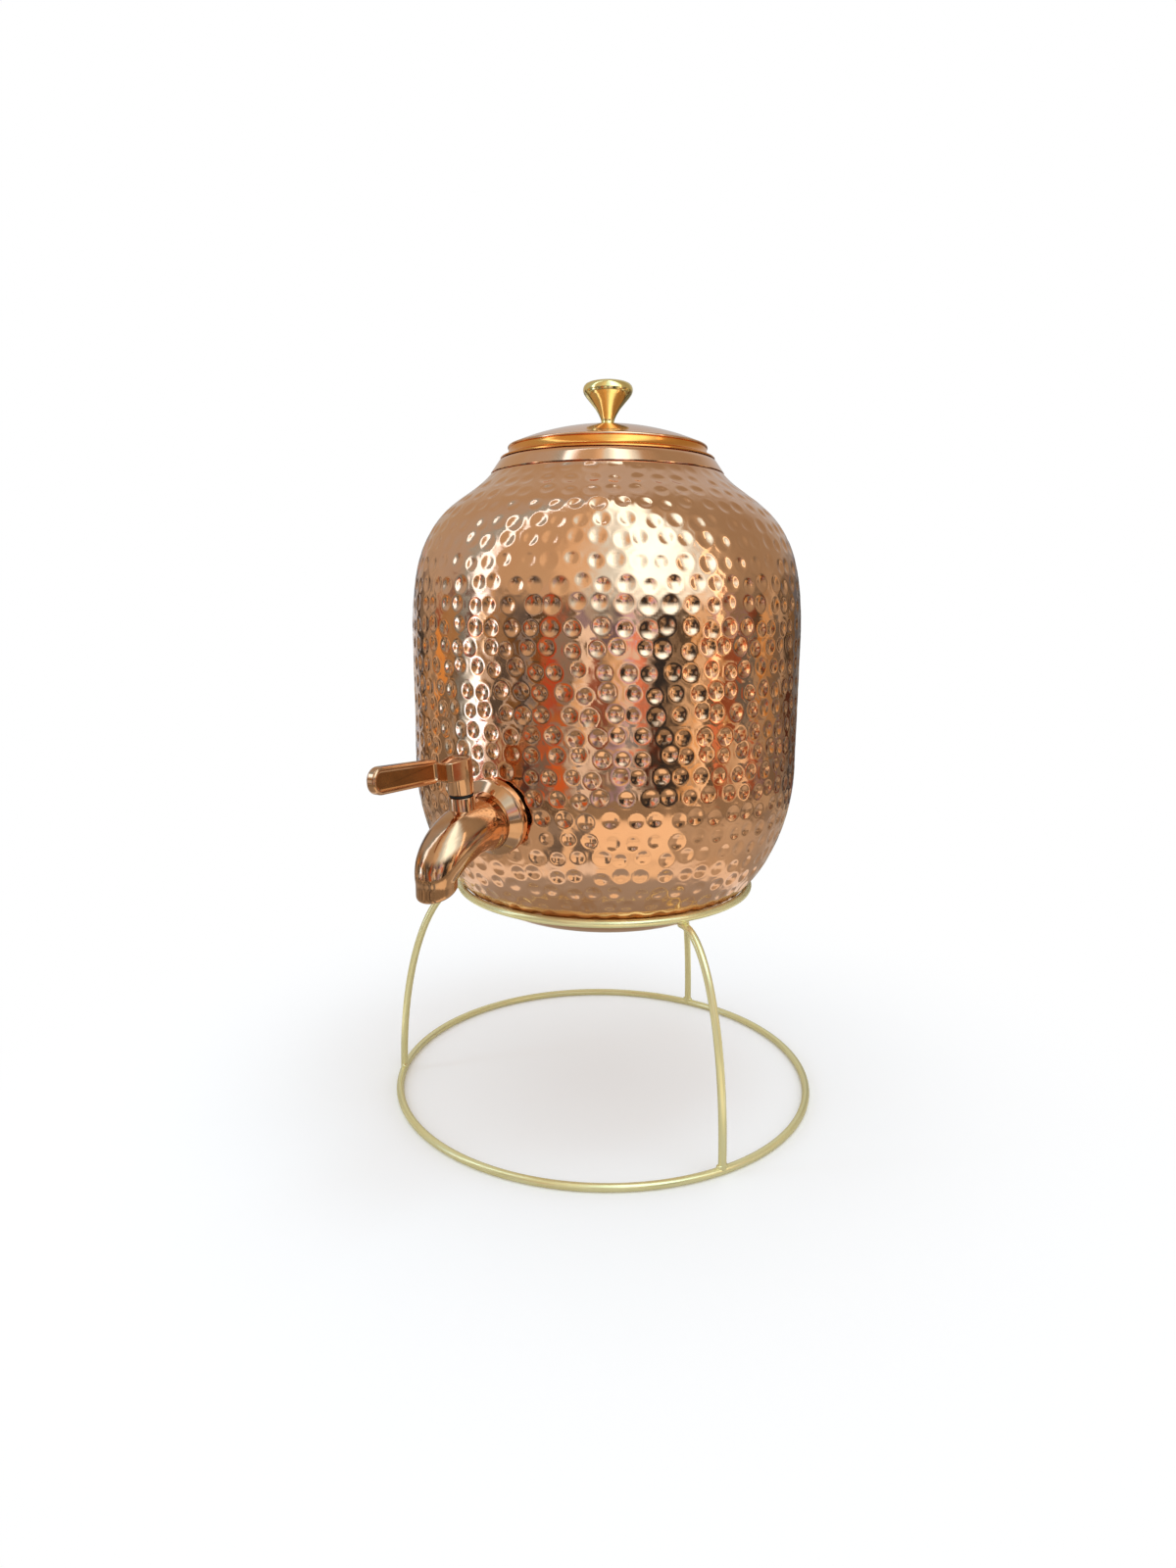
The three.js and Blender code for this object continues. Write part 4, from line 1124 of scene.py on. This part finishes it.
def make_floor():
    """A pale floor that keeps the object's shadow near it and fades into the backdrop."""
    deselect()
    bpy.ops.mesh.primitive_plane_add(size=FLOOR_SIZE, location=(0, AXIS_Y * MM, 0))
    floor = bpy.context.object
    floor.name = "floor"
    material, tree = new_material("white_paper_floor")
    place = add_node(tree, "ShaderNodeTexCoord").outputs["Object"]
    distance = add_node(tree, "ShaderNodeVectorMath", {0: place}, operation="LENGTH")
    fade = add_node(tree, "ShaderNodeMapRange", {"Value": distance.outputs["Value"]},
                    From_Min=FADE_START, From_Max=FADE_END, To_Min=0.0, To_Max=1.0,
                    interpolation_type="SMOOTHSTEP")
    share = add_node(tree, "ShaderNodeMath", {0: seen_plainly(tree), 1: fade.outputs["Result"]},
                     operation="MULTIPLY")
    paper = add_node(tree, "ShaderNodeBsdfDiffuse", Color=linear("fafafa"))
    glow = add_node(tree, "ShaderNodeEmission", Strength=1.0)
    mix = add_node(tree, "ShaderNodeMixShader", {0: share.outputs[0], 1: paper.outputs[0],
                                                 2: glow.outputs[0]})
    add_node(tree, "ShaderNodeOutputMaterial", {"Surface": mix.outputs[0]})
    floor.data.materials.append(material)


# Tints of the room's painted panels, and the world's white and its fill light
WHITE = (1, 1, 1, 1)
FILL_STRENGTH = 0.98
PLAIN = (1, 1, 1)
DAYLIGHT = (0.64, 0.88, 1.08)
WOOD = (1, 0.86, 0.66)
BRICK = (1, 0.4, 0.28)
SLATE = (0.75, 0.82, 1.0)
SKY = (0.72, 0.94, 1.3)

# Upright panels low on the room's wall: angle from the camera's side, to the right when
# positive, how bright each one is, and its tint
LOW_PANELS = [
    (-180, 0.3, WOOD), (-150, 0.45, PLAIN), (-126, 0.2, WOOD), (-106, 0.42, WOOD),
    (-90, 0.3, WOOD), (-81, 0.45, DAYLIGHT), (-76, 0.6, DAYLIGHT), (-71, 3.4, SKY),
    (-66, 0.5, PLAIN), (-52, 0.3, PLAIN), (-42, 0.16, SLATE), (-34, 0.3, PLAIN),
    (-27, 0.5, BRICK), (-20, 0.25, PLAIN), (-10, 0.55, PLAIN), (0, 0.3, PLAIN),
    (10, 0.8, PLAIN), (19, 0.42, PLAIN), (25, 0.05, PLAIN), (35, 0.05, PLAIN),
    (42, 0.5, WOOD), (56, 0.75, WOOD), (66, 0.35, WOOD), (76, 0.6, WOOD),
    (88, 0.26, WOOD), (104, 0.42, WOOD), (120, 0.18, WOOD), (136, 0.1, PLAIN),
    (150, 0.14, PLAIN), (166, 0.3, PLAIN),
]
# The same for the upper wall and the roof, where the shoulder looks
HIGH_PANELS = [
    (-180, 0.58, PLAIN), (-130, 0.5, WOOD), (-96, 0.5, PLAIN), (-78, 0.6, DAYLIGHT),
    (-71, 2.8, SKY), (-60, 0.6, WOOD), (-34, 0.6, WOOD), (-16, 0.85, WOOD),
    (0, 1.3, DAYLIGHT), (12, 2.0, DAYLIGHT), (20, 3.0, DAYLIGHT), (38, 2.8, DAYLIGHT),
    (54, 1.5, DAYLIGHT), (66, 0.5, WOOD), (90, 0.38, WOOD), (120, 0.4, WOOD),
    (150, 0.55, PLAIN),
]
# The table round the dispenser: distance from its middle, brightness and tint
TABLE_BANDS = [
    (0.0, 0.3, WOOD), (0.1, 0.34, WOOD), (0.165, 0.4, PLAIN), (0.19, 0.95, PLAIN),
    (0.215, 0.85, PLAIN), (0.235, 0.3, WOOD), (0.26, 0.16, PLAIN), (0.48, 0.16, PLAIN),
    (0.56, 0.3, WOOD), (0.72, 0.3, WOOD),
]
# The pale cloth on its front: distance, brightness and tint, and how far round it lies
CLOTH_BANDS = [
    (0.0, 0.3, WOOD), (0.165, 0.4, PLAIN), (0.19, 1.0, WOOD), (0.235, 0.9, WOOD),
    (0.26, 1.05, WOOD), (0.4, 1.1, WOOD), (0.47, 0.95, WOOD), (0.5, 0.34, WOOD), (0.72, 0.3, WOOD),
]
CLOTH_SPREAD = [
    (-180, 0.25, PLAIN), (-60, 0.25, PLAIN), (-42, 0.4, PLAIN), (-34, 0.4, PLAIN),
    (-31, 0.02, PLAIN), (-25, 0.02, PLAIN), (-22, 0.9, PLAIN), (-18, 0.9, PLAIN),
    (-15, 0.0, PLAIN), (-9, 0.0, PLAIN), (-6, 1, PLAIN), (36, 1, PLAIN), (42, 0.35, PLAIN),
    (70, 0.45, PLAIN), (110, 0.25, PLAIN),
]
# Goods on the shelves: the share of them from which on a tint is used, brightness and tint
GOODS_TINTS = [
    (0.0, 1, PLAIN), (0.55, 1, (1, 0.8, 0.55)), (0.72, 1, (1, 0.42, 0.3)),
    (0.82, 1, (0.6, 0.75, 1.0)), (0.9, 1, (1, 0.62, 0.25)), (0.95, 1, (0.55, 0.5, 0.75)),
]
# How many blocks of goods go round the room, and how many to each metre of height
GOODS_GRID = (62, 8, 1)
# The floor and its fade into the backdrop, the room and the height that the lamps point at, all
# in metres as the bands above are
FLOOR_SIZE = 14
FADE_START = 0.13
FADE_END = 0.36
LAMP_AIM = 0.22
ROOM_RADIUS = 0.72
ROOM_HEIGHT = 1.15
ROOM_LIFT = 0.0004
LOW_WALL_TOP = 0.28
HIGH_WALL_FOOT = 0.5
TABLE_TOP = 0.002


def panel_ramp(tree, share, panels, first, whole, blend="EASE"):
    """A soft colour ramp over panels given as (place, brightness, tint)."""
    ramp = add_node(tree, "ShaderNodeValToRGB", {"Fac": share})
    ramp.color_ramp.interpolation = blend
    stops = ramp.color_ramp.elements
    while len(stops) < len(panels):
        stops.new(0.5)
    for stop, (place, bright, tint) in zip(stops, panels):
        stop.position = (place - first) / whole
        stop.color = (*(bright * part for part in tint), 1)
    return ramp.outputs["Color"]


def shelf_goods(tree, share, height):
    """Upright blocks of tone on the wall, like goods on a shelf."""
    block_place = add_node(tree, "ShaderNodeCombineXYZ", {"X": share, "Y": height})
    block_place = add_node(tree, "ShaderNodeVectorMath", {0: block_place.outputs[0]},
                           operation="MULTIPLY")
    block_place.inputs[1].default_value = GOODS_GRID
    blocks = add_node(tree, "ShaderNodeTexVoronoi", {"Vector": block_place.outputs[0]},
                      feature="F1", distance="CHEBYCHEV", Scale=1.0)
    parts = add_node(tree, "ShaderNodeSeparateColor", {"Color": blocks.outputs["Color"]})
    tone = add_node(tree, "ShaderNodeMapRange", {"Value": parts.outputs["Red"]},
                    To_Min=0.2, To_Max=2.0)
    tint = panel_ramp(tree, parts.outputs["Green"], GOODS_TINTS, 0, 1, "CONSTANT")
    goods = add_node(tree, "ShaderNodeVectorMath", {0: tint, "Scale": tone.outputs[0]},
                     operation="SCALE")
    return goods.outputs[0]


def laid_table(tree, place, level, share):
    """The table: soft rings of tone, and a pale cloth on a part of it."""
    reach = add_node(tree, "ShaderNodeVectorMath", {0: level}, operation="LENGTH")
    sway = uneven(tree, place, 14.0, 2.0, -0.014, 0.014)
    reach = add_node(tree, "ShaderNodeMath", {0: reach.outputs["Value"], 1: sway},
                     operation="ADD").outputs[0]
    reach_share = add_node(tree, "ShaderNodeMath", {0: reach}, operation="DIVIDE")
    reach_share.inputs[1].default_value = ROOM_RADIUS
    table = panel_ramp(tree, reach_share.outputs[0], TABLE_BANDS, 0, ROOM_RADIUS)
    cloth = panel_ramp(tree, reach_share.outputs[0], CLOTH_BANDS, 0, ROOM_RADIUS)
    spread = panel_ramp(tree, share, CLOTH_SPREAD, -180, 360)
    blocks = add_node(tree, "ShaderNodeTexVoronoi", {"Vector": place}, feature="F1",
                      distance="CHEBYCHEV", Scale=13.0)
    parts = add_node(tree, "ShaderNodeSeparateColor", {"Color": blocks.outputs["Color"]})
    far = add_node(tree, "ShaderNodeMapRange", {"Value": reach}, From_Min=0.26, From_Max=0.34,
                   To_Min=0.0, To_Max=1.0)
    tone = add_node(tree, "ShaderNodeMapRange", {"Value": parts.outputs["Red"]}, To_Min=0.3,
                    To_Max=2.1)
    tone = add_node(tree, "ShaderNodeMix", {"Factor": far.outputs[0], "B": tone.outputs[0]},
                    data_type="FLOAT")
    tone.inputs["A"].default_value = 1.0
    laid = add_node(tree, "ShaderNodeVectorMath", {0: table, "Scale": tone.outputs[0]},
                    operation="SCALE")
    covered = add_node(tree, "ShaderNodeMix", {"Factor": spread, 6: laid.outputs[0], 7: cloth},
                       data_type="RGBA")
    return covered.outputs[2]


def room_material():
    """Painted panels and shelves of mixed goods, as soft blocks of tone, and a table below."""
    material, tree = new_material("painted_room")
    place = add_node(tree, "ShaderNodeTexCoord").outputs["Object"]
    turned_place = add_node(tree, "ShaderNodeMapping", {"Vector": place}, vector_type="POINT")
    turned_place.inputs["Rotation"].default_value = (0, 0, math.radians(90 - CAMERA_TURN))
    parts = add_node(tree, "ShaderNodeSeparateXYZ", {0: turned_place.outputs[0]}).outputs
    angle = add_node(tree, "ShaderNodeMath", {0: parts["Y"], 1: parts["X"]}, operation="ARCTAN2")
    share = add_node(tree, "ShaderNodeMapRange", {"Value": angle.outputs[0]}, From_Min=-math.pi,
                     From_Max=math.pi, To_Min=0.0, To_Max=1.0)
    waver = uneven(tree, place, 5.0, 3.0, -0.012, 0.012)
    share = add_node(tree, "ShaderNodeMath", {0: share.outputs[0], 1: waver},
                     operation="ADD").outputs[0]
    low = panel_ramp(tree, share, LOW_PANELS, -180, 360)
    high = panel_ramp(tree, share, HIGH_PANELS, -180, 360)
    goods = shelf_goods(tree, share, parts["Z"])
    shelved = add_node(tree, "ShaderNodeVectorMath", {0: low, 1: goods}, operation="MULTIPLY")
    up = add_node(tree, "ShaderNodeMapRange", {"Value": parts["Z"]},
                  From_Min=LOW_WALL_TOP - ROOM_HEIGHT / 2, From_Max=HIGH_WALL_FOOT - ROOM_HEIGHT / 2,
                  To_Min=0.0, To_Max=1.0, interpolation_type="SMOOTHSTEP")
    wall = add_node(tree, "ShaderNodeMix", {"Factor": up.outputs[0], 6: shelved.outputs[0],
                                            7: high}, data_type="RGBA")
    level = add_node(tree, "ShaderNodeCombineXYZ", {"X": parts["X"], "Y": parts["Y"]})
    table = laid_table(tree, place, level.outputs[0], share)
    below = add_node(tree, "ShaderNodeMath", {0: parts["Z"]}, operation="LESS_THAN")
    below.inputs[1].default_value = TABLE_TOP - ROOM_HEIGHT / 2
    colour = add_node(tree, "ShaderNodeMix", {"Factor": below.outputs[0], 6: wall.outputs[2],
                                              7: table}, data_type="RGBA")
    glow = add_node(tree, "ShaderNodeEmission", {"Color": colour.outputs[2]}, Strength=1.0)
    add_node(tree, "ShaderNodeOutputMaterial", {"Surface": glow.outputs[0]})
    return material


def make_room():
    """The room that the metal mirrors: a round wall, a roof and a table, seen by gloss alone."""
    deselect()
    bpy.ops.mesh.primitive_cylinder_add(
        vertices=96, radius=ROOM_RADIUS, depth=ROOM_HEIGHT, end_fill_type="NGON",
        location=(0, AXIS_Y * MM, ROOM_HEIGHT / 2 + ROOM_LIFT),
    )
    room = bpy.context.object
    room.name = "room"
    room.data.materials.append(room_material())
    room.visible_camera = False
    room.visible_shadow = False
    room.visible_diffuse = False


# Copper sheet, spun, hammered and polished: warm pinkish gold that mirrors the room. The grains
# of all the metals are drawn coarser than the real ones, so that they show.
hammered_copper = metal("hammered_copper_sheet", "f3c39c", "e7ae84", 0.09, 0.025, 0.7, 0.0015, 26)
# The same copper left smooth and buffed round the neck and lid
buffed_copper = metal("buffed_copper_sheet", "f6c69c", "edb186", 0.11, 0.03, 0.6, 0.001, 18)
# Zinc casting plated in copper: darker, with a hard mirror shine
plated_copper = metal("copper_plated_casting", "deb38d", "c8956c", 0.1, 0.03, 0.8, 0.0006, 8)
# The same plating in the lever's pocket, rougher, with painted shade: its floor is painted darker
# brown for the shade in the recess
pocket_copper_painted_shade = metal("copper_plated_pocket_painted_shade", "bd8650", "a26c3c", 0.2, 0.04, 0.8, 0.0003, 10)
# Copper in the lid's cove with a painted reflection: its colour is painted deep orange for the copper
# mirroring itself there
cove_copper_painted_reflection = metal("buffed_copper_cove_painted_reflection", "fbb25c", "ee9840", 0.16, 0.03, 0.6, 0.002, 12)
# Brass plating on drawn steel wire under a cloudy lacquer: pale yellow and silky, partly matt
wire_brass = metal("brass_lacquered_wire", "f6eebc", "ebdf9e", 0.24, 0.03, 0.5, 0.0002, 14, 0.62)
# Turned and lacquered solid brass: strong yellow and mirror bright
turned_brass = metal("lacquered_turned_brass", "fce9a4", "f4d886", 0.11, 0.03, 0.5, 0.001, 6)
# Zinc-plated steel of washers and screws
plated_steel = metal("zinc_plated_steel", "c9ccd0", "b4b8bd", 0.26, 0.06, 0.4, 0.004, 3)
# Moulded rubber of gaskets and rings: matt black
gasket_rubber = moulded("moulded_black_rubber", "202020", "161616", 0.72, 0.5, 0.02)

NODE_MATERIALS = {
    "knob_washer": plated_steel,
    "knob_screw": plated_steel,
    "outer_gasket": gasket_rubber,
    "inner_gasket": gasket_rubber,
    "inner_washer": plated_steel,
    "lock_nut": turned_brass,
    "valve_plug": turned_brass,
    "plug_ring_lower": gasket_rubber,
    "plug_ring_upper": gasket_rubber,
    "valve_retainer": turned_brass,
    "stem_washer": gasket_rubber,
    "lever_screw": plated_steel,
}

for shell in make_tank():
    dress(shell, hammered_copper)
dress(make_neck(), buffed_copper)
lid = make_lid()
dress(lid, buffed_copper, cove_copper_painted_reflection)
# The cove's faces get the deep orange painted reflection
for face in lid.data.polygons:
    face.material_index = int(in_cove(face))
dress(make_skirt(), buffed_copper)
dress(make_knob(), turned_brass)
dress(make_spout(), plated_copper)
dress(make_rose(), plated_copper)
lever = make_lever()
dress(lever, plated_copper, pocket_copper_painted_shade)
# The pocket floors get the darker brown painted shade
for face in lever.data.polygons:
    face.material_index = int(in_pocket(face))
dress(make_cap(), plated_copper)
dress(make_ring("base_ring_wire", "base_ring", BASE_RING_RADIUS, BASE_RING_HEIGHT), wire_brass)
dress(make_ring("top_ring_wire", "top_ring", TOP_RING_RADIUS, TOP_RING_HEIGHT), wire_brass)
for leg_node in LEG_ANGLES:
    dress(make_leg(leg_node), wire_brass)
for node_name, node_material in NODE_MATERIALS.items():
    dress(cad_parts[node_name], node_material)

make_floor()
make_room()
make_camera()
make_world()
make_lamp("key_softbox", angle=-73, distance=0.66, height=0.36, width=0.1, tall=0.66,
          power=0.55, tint=DAYLIGHT)
make_lamp("roof_softbox", angle=60, distance=0.2, height=1.08, width=0.3, tall=0.3,
          power=1.2, tint=DAYLIGHT)
make_lamp("right_strip", angle=61, distance=0.66, height=0.4, width=0.05, tall=0.6,
          power=0.12, tint=WOOD, mirrored=True)
bpy.context.scene.view_settings.view_transform = "Standard"

deselect()
bpy.context.view_layer.update()
